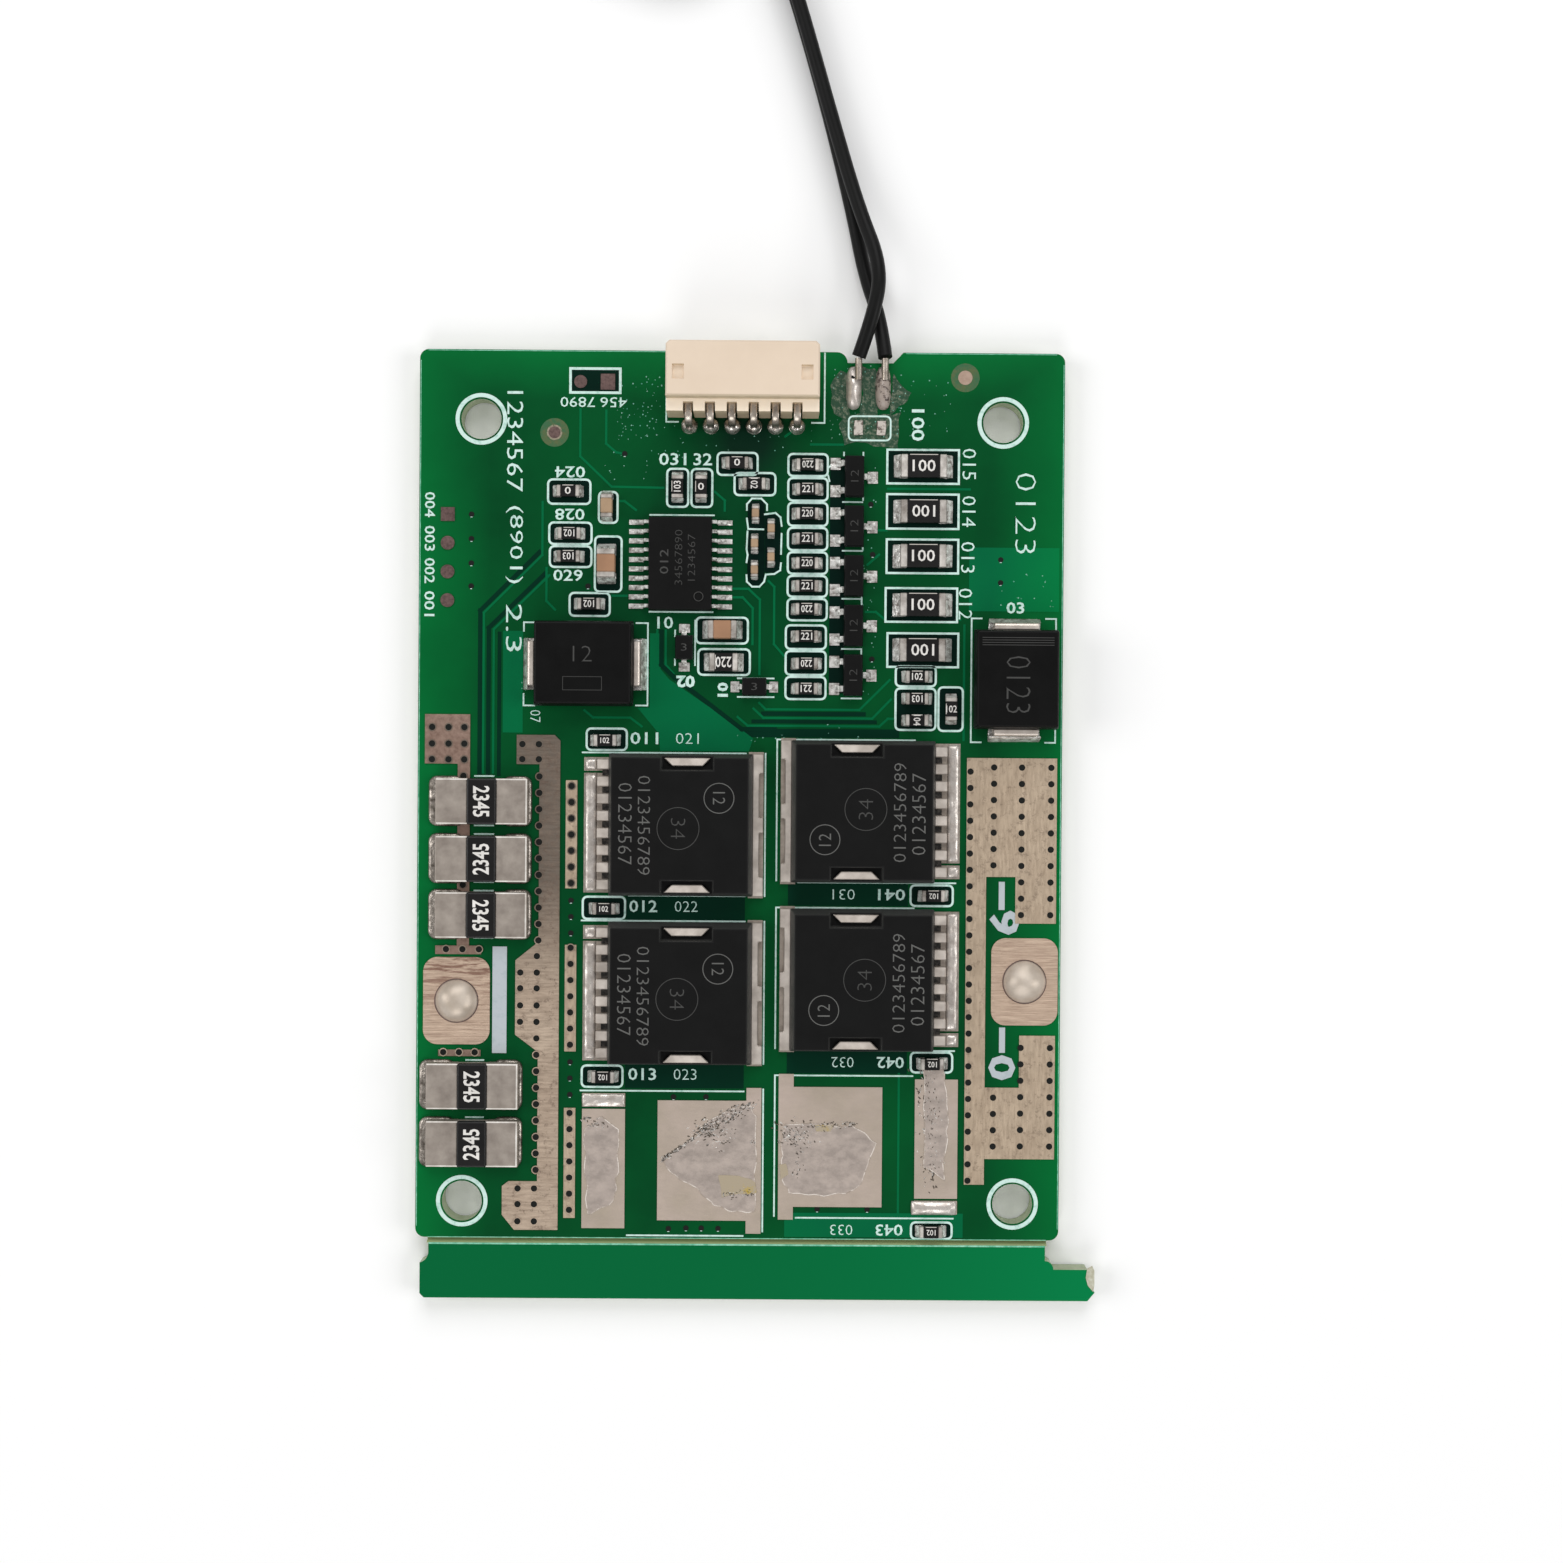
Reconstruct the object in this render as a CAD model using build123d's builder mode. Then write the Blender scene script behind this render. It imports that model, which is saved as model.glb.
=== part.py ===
from build123d import *
from math import cos, pi, radians, sin, tan
import os

# Battery management board, lying flat: X runs across it, Y up its length, Z up from its underside.
# The origin is the centre of the 45 by 62 board at its underside. All sizes are in millimetres.

# Circuit board
board_width = 45.0
board_length = 62.0
board_thickness = 1.6
board_corner_radius = 0.65
mount_hole_diameter = 2.8
top_hole_spacing = 36.4
top_hole_inset = 4.85
bottom_hole_spacing = 38.5
bottom_hole_inset = 2.55

# Notch in the top edge, where the two sensor leads leave
lead_notch_x = 8.9
lead_notch_width = 4.6
lead_notch_floor = 3.2
lead_notch_depth = 0.75

# Scored web and the strip of panel rail that is still joined to the bottom edge
score_width = 0.4
score_web = 0.5
score_length = 43.4
rail_height = 3.85
rail_neck = 21.58
rail_swell = 0.6
rail_swell_drop = 1.2
rail_tongue = 2.4
rail_tongue_drop = 1.65
rail_corner = 0.3
broken_edge = ((0.0, 0.0), (0.5, 0.6), (0.1, 1.4))

# Tinned copper lands
land_thickness = 0.08
seat_z = board_thickness + land_thickness

# Terminal lands and the solder domes on them
left_terminal_x = -19.7
left_terminal_y = -14.45
right_terminal_x = 19.98
right_terminal_y = -12.88
terminal_width = 4.65
terminal_length = 6.1
terminal_corner = 1.0
dome_diameter = 3.0
dome_height = 0.85

# Socket for the cell taps: side entry, pins bent down through the board
socket_x = 0.05
socket_ways = 6
socket_pitch = 1.5
socket_end = 1.5
socket_depth = 3.8
socket_height = 3.8
socket_wall = 0.6
socket_floor = 0.65
socket_roof = 0.75
socket_mouth_depth = 3.0
socket_step = 0.85
socket_step_height = 2.75
socket_slot_width = 0.7
socket_slot_wall = 0.21
socket_window_width = 0.8
socket_window_length = 1.0
socket_window_depth = 0.35
socket_window_inset = 0.45
socket_window_back = 2.15
socket_key_width = 0.9
socket_key_depth = 0.35
socket_key_inset = 1.35
socket_edge = 0.25
pin_size = 0.5
pin_height = 1.95
pin_reach = 2.2
pin_row_gap = 0.55
pin_bend = 0.55
pin_solder_diameter = 1.06
pin_solder_draft = 12.0
pin_solder_height = 0.55

# Power transistors: leadless body, seven source leads and a gate lead, drain tab at the far end
fet_length = 10.0
fet_width = 9.9
fet_height = 2.3
fet_draft = 9.0
fet_waist = 0.6
fet_lead_pitch = 1.2
fet_lead_count = 8
fet_lead_width = 0.7
fet_lead_reach = 0.85
fet_metal = 0.5
fet_tab_reach = 0.75
fet_tab_notch = 0.3
fet_tab_notch_length = 3.1
fet_pocket_x = 0.5
fet_pocket_width = 3.6
fet_pocket_reach = 1.15
fet_pocket_depth = 0.8
fet_bar_width = 3.2
fet_bar_reach = 0.55
fet_bar_thickness = 0.3
fet_row_gap = 1.84
fet_rows = 3
discharge_fet_x = -4.1
discharge_bank_top = 2.9
charge_fet_x = 8.6
charge_bank_top = 3.9

# Copper footprint of one power transistor, gate end towards -X
print_gate_length = 3.0
print_gate_width = 0.95
print_source_width = 8.35
print_end_reach = 1.78
print_drain_length = 6.2
print_drain_side = 0.75
print_strip_length = 1.05
print_strip_side = 0.15

# Shunts: metal strips with a black coat round their middle
shunt_length = 6.4
shunt_width = 3.2
shunt_height = 0.95
shunt_neck = 0.6
shunt_coat_length = 2.05
shunt_coat_skin = 0.12
shunt_solder_reach = 0.7
shunt_solder_climb = 0.62
shunt_solder_sag = 0.42
upper_shunt_x = -17.9
upper_shunt_rows = (-0.5, -4.5, -8.4)
lower_shunt_x = -18.45
lower_shunt_rows = (-20.3, -24.3)

# Monitor chip in its 20-lead body
chip_x = -4.25
chip_y = 16.1
chip_body_width = 4.4
chip_body_length = 6.5
chip_body_height = 0.9
chip_standoff = 0.1
chip_span = 6.4
chip_lead_count = 20
chip_lead_pitch = 0.65
chip_lead_width = 0.24
chip_lead_thickness = 0.15
chip_foot = 0.6
chip_dimple_diameter = 0.7
chip_dimple_depth = 0.06
chip_dimple_inset = (0.9, 0.9)

# Draft of the moulded bodies, feet of the small leads, and how far their lands reach past them
mould_draft = 7.0
small_foot = 0.3
small_land_reach = 0.4
small_land_margin = 0.1
wide_land_margin = 0.4
small_standoff = 0.05

# Two large diodes with leads folded under their bodies
diode_length = 6.9
diode_width = 5.9
diode_height = 2.3
diode_metal = 0.25
diode_lead_width = 3.1
diode_lead_reach = 0.5
diode_lead_height = 1.2
diode_fold = 1.3
diode_land_reach = 0.35
diode_land_width = 3.6
diode_solder_climb = 0.7
suppressor_spot = (-10.85, 9.1)
power_diode_spot = (19.1, 8.2)

# Two small clamp diodes
clamp_length = 1.7
clamp_width = 1.25
clamp_height = 0.85
clamp_span = 2.5
clamp_lead_width = 0.35
clamp_lead_thickness = 0.15
clamp_foot = 0.2
upright_clamp_spot = (-3.95, 10.3)
level_clamp_spot = (0.95, 7.6)

# Five bypass transistors in three-lead bodies
bypass_width = 1.35
bypass_length = 2.9
bypass_height = 0.95
bypass_span = 2.5
bypass_lead_pitch = 1.9
bypass_lead_width = 0.42
bypass_lead_thickness = 0.15
bypass_x = 7.82
bypass_top_y = 22.25
bypass_pitch = 3.45
bypass_count = 5

# Field of small parts between the transistors and the socket, as first drawn
field_inset = 6.0
field_reach = 21.1

# Chip sizes: length, width and height of a body with its end caps, cap length, solder reach
large_chip = (3.2, 1.6, 0.55, 0.5, 0.5)
middle_chip = (2.0, 1.25, 0.55, 0.4, 0.4)
middle_block = (2.0, 1.25, 0.95, 0.4, 0.4)
small_chip = (1.6, 0.8, 0.45, 0.3, 0.3)
small_block = (1.6, 0.8, 0.8, 0.3, 0.3)
tiny_block = (1.0, 0.5, 0.5, 0.22, 0.22)
chip_solder_climb = 0.75

# Chip places: X, Y and turn about Z. Rows close up or spread between the transistors and the top edge
balance_resistor_x = 12.65
balance_resistor_rows = (23.05, 19.9, 16.8, 13.4, 10.25)
input_resistor_x = 4.57
input_resistor_rows = (23.1, 21.4, 19.7, 17.95, 16.25, 14.65, 13.05, 11.15, 9.25, 7.5)
discharge_gate_resistor_x = -9.42
charge_gate_resistor_x = 13.55
gate_resistor_gap = 0.9
logic_resistor_places = (
    (-12.1, 21.15, 0), (-12.0, 18.2, 0), (-12.05, 16.6, 0), (-10.6, 13.3, 0),
    (-4.5, 21.5, 90), (-2.85, 21.5, 90), (-0.35, 23.2, 0), (0.85, 21.75, 0),
    (12.3, 8.4, 0), (12.3, 6.85, 0), (12.3, 5.35, 0), (14.7, 6.15, 90),
)
supply_resistor_place = (-1.2, 9.3, 0)
supply_capacitor_places = ((-1.3, 11.55, 0), (-9.4, 16.1, 90))
filter_capacitor_place = (-9.4, 20.1, 90)
tap_capacitor_places = (
    (0.95, 19.7, 90), (2.05, 18.65, 90), (0.9, 17.6, 90), (2.05, 16.65, 90), (0.9, 15.75, 90),
)

# Programming pads at the left edge
program_pad_x = -20.5
program_pad_drop = 11.5
program_pad_pitch = 2.0
program_pad_radius = 0.48

# Jumper pads and the pads of one empty chip place
jumper_drop = 2.2
jumper_dot_x = -11.3
jumper_dot_radius = 0.45
jumper_pad_x = -9.4
jumper_pad_size = (1.0, 1.1)
open_pad_xs = (8.1, 9.67)
open_pad_drop = 5.28
open_pad_size = (0.6, 0.95)

# Soldered ends of the two sensor leads
lead_pad_xs = (7.75, 9.8)
lead_pad_drop = 2.5
lead_pad_width = 1.05
lead_pad_length = 3.0
lead_pad_corner = 0.3
lead_solder_height = 0.72
lead_solder_draft = 24.0
strand_diameter = 0.5
strand_length = 1.5
strand_gap = 0.1
lead_diameter = 1.0

# Routes of the two leads: X, how far past the board's top edge, and Z
left_lead_points = (
    (8.05, -0.45, 2.25), (9.0, 2.2, 2.85), (9.6, 5.6, 2.85), (7.9, 10.2, 1.75), (5.9, 17.0, 1.52),
    (3.9, 23.9, 1.56),
)
right_lead_points = (
    (9.9, -0.45, 2.15), (9.6, 2.2, 1.6), (8.5, 5.6, 0.62), (7.6, 10.2, 0.5), (5.9, 17.0, 0.5),
    (3.9, 23.9, 0.52),
)

# Coil of the leads, laid past the top edge: two leads one over the other, two turns
coil_x = -5.1
coil_reach = 32.8
coil_outer_turn_radius = 6.0
coil_turns = 2
coil_lift = 0.2
coil_entry_angle = 16.0
coil_entry_length = 3.7
coil_approach = 3.0
coil_leave_angle = 120.0
coil_leave_turn = 60.0
coil_leave_length = 1.9
tie_skin = 0.2
tie_angle = 16.0
tie_turn = 215.0
bead_diameter = 2.3
bead_length = 4.3
bead_shoulder = 2.6
bead_tip_diameter = 0.9
bead_back_diameter = 1.9

board_top = board_length / 2
board_bottom = -board_length / 2
field_top = board_top - field_inset
field_spread = (field_top - charge_bank_top) / field_reach
fet_row_pitch = fet_width + fet_row_gap
discharge_rows = [discharge_bank_top - fet_width / 2 - row * fet_row_pitch for row in range(fet_rows)]
charge_rows = [charge_bank_top - fet_width / 2 - row * fet_row_pitch for row in range(fet_rows)]
gate_resistor_drop = fet_width / 2 + gate_resistor_gap
gate_resistor_places = [(discharge_gate_resistor_x, y + gate_resistor_drop, 0) for y in discharge_rows]
gate_resistor_places += [(charge_gate_resistor_x, y - gate_resistor_drop, 0) for y in charge_rows]
rail_top = board_bottom - score_width
score_drop = (board_thickness - score_web) / 2
top_hole_y = board_top - top_hole_inset
bottom_hole_y = board_bottom + bottom_hole_inset
socket_width = (socket_ways - 1) * socket_pitch + 2 * socket_end
socket_back_y = board_top - socket_depth
pin_row_y = socket_back_y - socket_step - pin_row_gap
pin_xs = [socket_x + (way - (socket_ways - 1) / 2) * socket_pitch for way in range(socket_ways)]

os.makedirs("parts", exist_ok=True)


def at(x, y, turn=0.0):
    """A place on top of the lands, turned about Z."""
    return Location((x, y, seat_z), (0, 0, turn))


def field_y(y):
    """Height up the board of a row in the field of small parts."""
    return charge_bank_top + (y - charge_bank_top) * field_spread


def in_field(x, y, turn=0.0):
    """A place in the field of small parts."""
    return at(x, field_y(y), turn)


def hand_over(built, name):
    """Labels a finished piece and writes its file."""
    built.part.label = name
    export_step(built.part, f"parts/{name}.step")


def copies(shape, places):
    """One finished shape, standing at each of its places."""
    with BuildPart() as group:
        with Locations(*places):
            add(shape)
    return group


# Circuit board, with the rail that was never broken off and its V-shaped scores above and below
with BuildPart() as circuit_board:
    with BuildSketch():
        RectangleRounded(board_width, board_length, board_corner_radius)
        with Locations((0, board_bottom - score_width / 2)):
            Rectangle(score_length, score_width)
        with BuildLine():
            rail_foot = rail_top - rail_height
            swell_y = rail_top - rail_swell_drop
            tongue_y = rail_top - rail_tongue_drop
            swell_x = rail_neck + rail_swell
            tongue_x = rail_neck + rail_swell + rail_tongue
            Line((-rail_neck, rail_top), (-rail_neck, rail_top - rail_swell))
            ThreePointArc(
                (-rail_neck, rail_top - rail_swell),
                (-rail_neck - 0.2 * rail_swell, swell_y + 0.25 * rail_swell),
                (-swell_x, swell_y - 0.2),
            )
            Polyline(
                (-swell_x, swell_y - 0.2), (-swell_x, rail_foot + rail_corner),
                (-swell_x + rail_corner, rail_foot), (tongue_x, rail_foot),
            )
            Polyline(*[(tongue_x + x, rail_foot + y) for x, y in broken_edge], (tongue_x, tongue_y))
            Line((tongue_x, tongue_y), (swell_x, tongue_y))
            RadiusArc((swell_x, tongue_y), (rail_neck, tongue_y + rail_swell), -rail_swell)
            Polyline((rail_neck, tongue_y + rail_swell), (rail_neck, rail_top), (-rail_neck, rail_top))
        make_face()
        with BuildLine():
            notch_left = lead_notch_x - lead_notch_width / 2
            notch_floor_left = lead_notch_x - lead_notch_floor / 2
            notch_floor_y = board_top - lead_notch_depth
            RadiusArc((notch_left, board_top), (notch_floor_left, notch_floor_y), lead_notch_depth)
            Polyline(
                (notch_floor_left, notch_floor_y),
                (lead_notch_x + lead_notch_floor / 2, notch_floor_y),
                (lead_notch_x + lead_notch_width / 2, board_top),
                (notch_left, board_top),
            )
        make_face(mode=Mode.SUBTRACT)
    extrude(amount=board_thickness)
    with BuildSketch(Plane.YZ.offset(-score_length / 2)):
        for face_z, score_depth in ((board_thickness, score_drop), (0, -score_drop)):
            with BuildLine():
                Polyline(
                    (board_bottom, face_z),
                    (rail_top, face_z),
                    (board_bottom - score_width / 2, face_z - score_depth),
                    close=True,
                )
            make_face()
    extrude(amount=score_length, mode=Mode.SUBTRACT)
    with BuildSketch(Plane.XY.offset(board_thickness)):
        for hole_spacing, hole_y in ((top_hole_spacing, top_hole_y), (bottom_hole_spacing, bottom_hole_y)):
            with Locations((0, hole_y)):
                with GridLocations(hole_spacing, 1, 2, 1):
                    Circle(mount_hole_diameter / 2)
        with Locations(*[(x, pin_row_y) for x in pin_xs]):
            Rectangle(pin_size, pin_size)
    extrude(amount=-board_thickness, mode=Mode.SUBTRACT)
hand_over(circuit_board, "circuit_board")

# Tinned copper lands: flat slabs of tin on copper, let into the green mask


def lands(*outlines):
    """Lands of the given closed outlines."""
    with BuildPart() as tinned:
        with BuildSketch(Plane.XY.offset(board_thickness)):
            for outline in outlines:
                with BuildLine():
                    Polyline(*outline, close=True)
                make_face()
        extrude(amount=land_thickness)
    return tinned


def strip(left, bottom, right, top):
    """The corners of a straight-sided land."""
    return ((left, bottom), (right, bottom), (right, top), (left, top))


# Left bus: from the top shunt down to the rail, waisted beside the terminal, lobed at the foot
patch_bottom = 2.1
bus_right = -12.55
bus_left = upper_shunt_x + shunt_length / 2 + shunt_solder_reach
bus_shoulder = -15.6
bus_top = 4.15
bus_bottom = -30.45
bus_chamfer = 0.4
bus_foot_swell = 0.85
bus_foot_low = 1.05
bus_foot_high = 3.05
bus_foot_top = 3.4
bay_low = 3.55
bay_low_slope = 1.2
bay_high = 4.15
bay_high_slope = 1.3
left_bus_land = lands((
    (bus_shoulder, bus_top), (bus_right - bus_chamfer, bus_top), (bus_right, bus_top - bus_chamfer),
    (bus_right, bus_bottom), (bus_shoulder, bus_bottom),
    (bus_shoulder - bus_foot_swell, bus_bottom + bus_foot_low),
    (bus_shoulder - bus_foot_swell, bus_bottom + bus_foot_high),
    (bus_shoulder - bus_chamfer, bus_bottom + bus_foot_top), (bus_left, bus_bottom + bus_foot_top),
    (bus_left, left_terminal_y - bay_low), (bus_shoulder, left_terminal_y - bay_low + bay_low_slope),
    (bus_shoulder, left_terminal_y + bay_high - bay_high_slope), (bus_left, left_terminal_y + bay_high),
    (bus_left, patch_bottom), (bus_shoulder, patch_bottom),
))
hand_over(left_bus_land, "left_bus_land")

# Right bus: one plane with a bay for the right terminal
plane_left = 15.85
plane_waist = 17.25
plane_bay = 19.5
plane_right = 22.15
right_bus_land = lands((
    (plane_left, 2.75), (plane_right, 2.75), (plane_right, -8.8), (plane_bay - 0.2, -8.8),
    (plane_bay - 0.2, -5.55), (plane_waist, -5.55), (plane_waist, -20.3), (plane_bay + 0.15, -20.3),
    (plane_bay + 0.15, -16.65), (plane_right, -16.65), (plane_right, -25.3), (plane_waist, -25.3),
    (plane_waist, -27.1), (plane_left, -27.1),
))
hand_over(right_bus_land, "right_bus_land")

# Sense lands beside the shunts, broken where the shunts' solder covers them
sense_left = -19.7
sense_right = -18.85
patch_left = -22.0
patch_top = 5.55
foot_left = -21.2
foot_right = -18.0
foot_top = -10.6
foot_bottom = -11.2
lower_foot_length = 2.95
lower_foot_width = 0.45
with BuildPart() as sense_lands:
    with BuildSketch(Plane.XY.offset(board_thickness)):
        with BuildLine():
            Polyline(
                (patch_left, patch_bottom), (sense_left, patch_bottom), (sense_left, foot_top),
                (foot_left, foot_top), (foot_left, foot_bottom), (foot_right, foot_bottom),
                (foot_right, foot_top), (sense_right, foot_top), (sense_right, patch_top),
                (patch_left, patch_top), close=True,
            )
        make_face()
        lower_foot_y = left_terminal_y - terminal_length / 2 - 0.6
        with Locations((foot_right - lower_foot_length / 2, lower_foot_y)):
            Rectangle(lower_foot_length, lower_foot_width)
        with Locations(*[(upper_shunt_x, y) for y in upper_shunt_rows]):
            Rectangle(shunt_length + 2 * shunt_solder_reach, shunt_width, mode=Mode.SUBTRACT)
    extrude(amount=land_thickness)
hand_over(sense_lands, "sense_lands")

# Plated via strips between the left bus and the transistors
via_strip_width = 0.8
via_strip_x = -11.75
via_strip_spans = ((-6.55, 1.0), (-17.95, -10.5), (-29.6, -21.9))
via_strip_lands = lands(*[
    strip(via_strip_x - via_strip_width / 2, low, via_strip_x + via_strip_width / 2, high)
    for low, high in via_strip_spans
])
hand_over(via_strip_lands, "via_strip_lands")

terminal_spots = ((left_terminal_x, left_terminal_y), (right_terminal_x, right_terminal_y))
with BuildPart() as terminal_lands:
    with BuildSketch(Plane.XY.offset(board_thickness)):
        with Locations(*terminal_spots):
            RectangleRounded(terminal_width, terminal_length, terminal_corner)
    extrude(amount=land_thickness)
hand_over(terminal_lands, "terminal_lands")

# A dome of solder: an arc turned about its own axis
with BuildPart() as dome:
    with BuildSketch(Plane.XZ):
        with BuildLine():
            rim = dome_diameter / 2
            dome_radius = (rim ** 2 + dome_height ** 2) / (2 * dome_height)
            Polyline((0, dome_height), (0, 0), (rim, 0))
            RadiusArc((rim, 0), (0, dome_height), -dome_radius)
        make_face()
    revolve(axis=Axis.Z)
terminal_solder = copies(dome.part, [at(x, y) for x, y in terminal_spots])
hand_over(terminal_solder, "terminal_solder")


# Power transistors

fet_half = fet_length / 2
fet_lead_ys = [(i - (fet_lead_count - 1) / 2) * fet_lead_pitch for i in range(fet_lead_count)]
gate_y = fet_lead_ys[-1]

with BuildPart() as print_copper:
    with BuildSketch():
        land_left = -fet_half - print_end_reach
        with Locations((land_left + print_gate_length / 2, gate_y)):
            Rectangle(print_gate_length, print_gate_width)
        source_y = (fet_lead_ys[0] + fet_lead_ys[-2]) / 2
        with Locations((land_left + print_gate_length / 2, source_y)):
            Rectangle(print_gate_length, print_source_width)
        drain_right = fet_half + fet_tab_reach
        with Locations((drain_right - print_strip_length / 2, 0)):
            Rectangle(print_strip_length, fet_width + 2 * print_strip_side)
        with Locations((drain_right - print_strip_length - print_drain_length / 2, 0)):
            Rectangle(print_drain_length, fet_width - 2 * print_drain_side)
    extrude(amount=-land_thickness)

with BuildPart() as fet_body:
    with BuildSketch():
        Rectangle(fet_length, fet_width)
    extrude(amount=fet_waist)
    with BuildSketch(Plane.XY.offset(fet_waist)):
        Rectangle(fet_length, fet_width)
    extrude(amount=fet_height - fet_waist, taper=fet_draft)
    with BuildSketch(Plane.XY.offset(fet_height)):
        for side in (1, -1):
            with Locations((fet_pocket_x, side * (fet_width / 2 - fet_pocket_reach / 2))):
                Rectangle(fet_pocket_width, fet_pocket_reach)
    extrude(amount=-fet_pocket_depth, mode=Mode.SUBTRACT)

with BuildPart() as fet_leadframe:
    with BuildSketch():
        with Locations(*[(-fet_half - fet_lead_reach / 2, y) for y in fet_lead_ys]):
            Rectangle(fet_lead_reach, fet_lead_width)
        with Locations((fet_half + fet_tab_reach / 2, 0)):
            Rectangle(fet_tab_reach, fet_width)
        with Locations((fet_half + fet_tab_reach - fet_tab_notch / 2, 0)):
            with GridLocations(1, fet_width / 2 - 0.8, 1, 2):
                Rectangle(fet_tab_notch, fet_tab_notch_length, mode=Mode.SUBTRACT)
    extrude(amount=fet_metal)
    with BuildSketch(Plane.XY.offset(fet_height - fet_pocket_depth)):
        for side in (1, -1):
            with BuildLine():
                bar_y = side * (fet_width / 2 - fet_pocket_reach / 2 - fet_bar_reach / 2)
                bar_top = bar_y + side * fet_bar_reach
                Polyline(
                    (fet_pocket_x - fet_bar_width / 2, bar_top),
                    (fet_pocket_x + fet_bar_width / 2, bar_top),
                    (fet_pocket_x + fet_bar_width / 2 - fet_bar_reach, bar_y),
                    (fet_pocket_x - fet_bar_width / 2 + fet_bar_reach, bar_y),
                    close=True,
                )
            make_face()
    extrude(amount=fet_bar_thickness)

fet_places = {
    "discharge_transistor_1": at(discharge_fet_x, discharge_rows[0]),
    "discharge_transistor_2": at(discharge_fet_x, discharge_rows[1]),
    "charge_transistor_1": at(charge_fet_x, charge_rows[0], 180),
    "charge_transistor_2": at(charge_fet_x, charge_rows[1], 180),
}
open_places = [at(discharge_fet_x, discharge_rows[2]), at(charge_fet_x, charge_rows[2], 180)]
for fet_name, place in fet_places.items():
    hand_over(copies(fet_body.part, [place]), f"{fet_name}_body")
    hand_over(copies(fet_leadframe.part, [place]), f"{fet_name}_leadframe")
hand_over(copies(print_copper.part, list(fet_places.values())), "transistor_lands")
hand_over(copies(print_copper.part, open_places), "open_transistor_lands")


# Shunts: a metal strip, necked in the middle under its coat, soldered at both ends

with BuildPart() as shunt_strip:
    with BuildSketch(Plane.XZ.offset(-shunt_width / 2)):
        with BuildLine():
            neck_half = shunt_coat_length / 2
            Polyline(
                (-shunt_length / 2, 0), (-neck_half, 0), (-neck_half, shunt_coat_skin),
                (neck_half, shunt_coat_skin), (neck_half, 0), (shunt_length / 2, 0),
                (shunt_length / 2, shunt_height), (neck_half, shunt_height), (neck_half, shunt_neck),
                (-neck_half, shunt_neck), (-neck_half, shunt_height), (-shunt_length / 2, shunt_height),
                close=True,
            )
        make_face()
    extrude(amount=shunt_width)

with BuildPart() as shunt_coat:
    with BuildSketch(Plane.XY.offset(shunt_neck)):
        Rectangle(shunt_coat_length, shunt_width)
    extrude(amount=shunt_height + shunt_coat_skin - shunt_neck)

with BuildPart() as shunt_joint:
    with BuildSketch(Plane.XY.offset(-land_thickness)):
        for side in (1, -1):
            foot = shunt_length / 2 - shunt_coat_length / 2 + shunt_solder_reach
            with Locations((side * (shunt_coat_length / 2 + foot / 2), 0)):
                Rectangle(foot, shunt_width)
    extrude(amount=land_thickness)
    with BuildSketch(Plane.XZ.offset(-shunt_width / 2)):
        for side in (1, -1):
            with BuildLine():
                end_x = side * shunt_length / 2
                toe_x = side * (shunt_length / 2 + shunt_solder_reach)
                climb = shunt_solder_climb * shunt_height
                Polyline((end_x, climb), (end_x, 0), (toe_x, 0))
                ThreePointArc((toe_x, 0), ((end_x + 2 * toe_x) / 3, shunt_solder_sag * climb), (end_x, climb))
            make_face()
    extrude(amount=shunt_width)

shunt_places = [at(upper_shunt_x, y) for y in upper_shunt_rows]
shunt_places += [at(lower_shunt_x, y) for y in lower_shunt_rows]
hand_over(copies(shunt_strip.part, shunt_places), "shunt_strips")
hand_over(copies(shunt_coat.part, shunt_places), "shunt_coats")
hand_over(copies(shunt_joint.part, shunt_places), "shunt_solder")


# Chip resistors and capacitors: a ceramic block, two end caps, and solder with a sloping toe


def chip_body(size):
    """The ceramic block between the end caps of one chip."""
    length, width, height, cap, reach = size
    with BuildPart() as block:
        with BuildSketch():
            Rectangle(length - 2 * cap, width)
        extrude(amount=height)
    return block


def chip_caps(size):
    """Both end caps of one chip."""
    length, width, height, cap, reach = size
    with BuildPart() as caps:
        with BuildSketch():
            with GridLocations(length - cap, 1, 2, 1):
                Rectangle(cap, width)
        extrude(amount=height)
    return caps


def chip_joints(size):
    """Land and solder at both ends of one chip."""
    length, width, height, cap, reach = size
    with BuildPart() as joints:
        with BuildSketch(Plane.XZ.offset(-width / 2)):
            for side in (1, -1):
                with BuildLine():
                    inner = side * (length / 2 - cap)
                    end = side * length / 2
                    toe = side * (length / 2 + reach)
                    Polyline(
                        (inner, -land_thickness), (toe, -land_thickness),
                        (end, chip_solder_climb * height), (end, 0), (inner, 0), close=True,
                    )
                make_face()
        extrude(amount=width)
    return joints


def chip_spots(places):
    """Chip places in the field as locations."""
    return [in_field(x, y, turn) for x, y, turn in places]


balance_resistor_places = [(balance_resistor_x, y, 0) for y in balance_resistor_rows]
input_resistor_places = [(input_resistor_x, y, 0) for y in input_resistor_rows]
chip_groups = {
    "balance_resistor": [(large_chip, chip_spots(balance_resistor_places))],
    "input_resistor": [(small_chip, chip_spots(input_resistor_places))],
    "gate_resistor": [(small_chip, [at(x, y, turn) for x, y, turn in gate_resistor_places])],
    "logic_resistor": [(small_chip, chip_spots(logic_resistor_places))],
    "supply_resistor": [(middle_chip, chip_spots([supply_resistor_place]))],
    "supply_capacitor": [(middle_block, chip_spots(supply_capacitor_places))],
    "signal_capacitor": [
        (small_block, chip_spots([filter_capacitor_place])),
        (tiny_block, chip_spots(tap_capacitor_places)),
    ],
}


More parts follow.
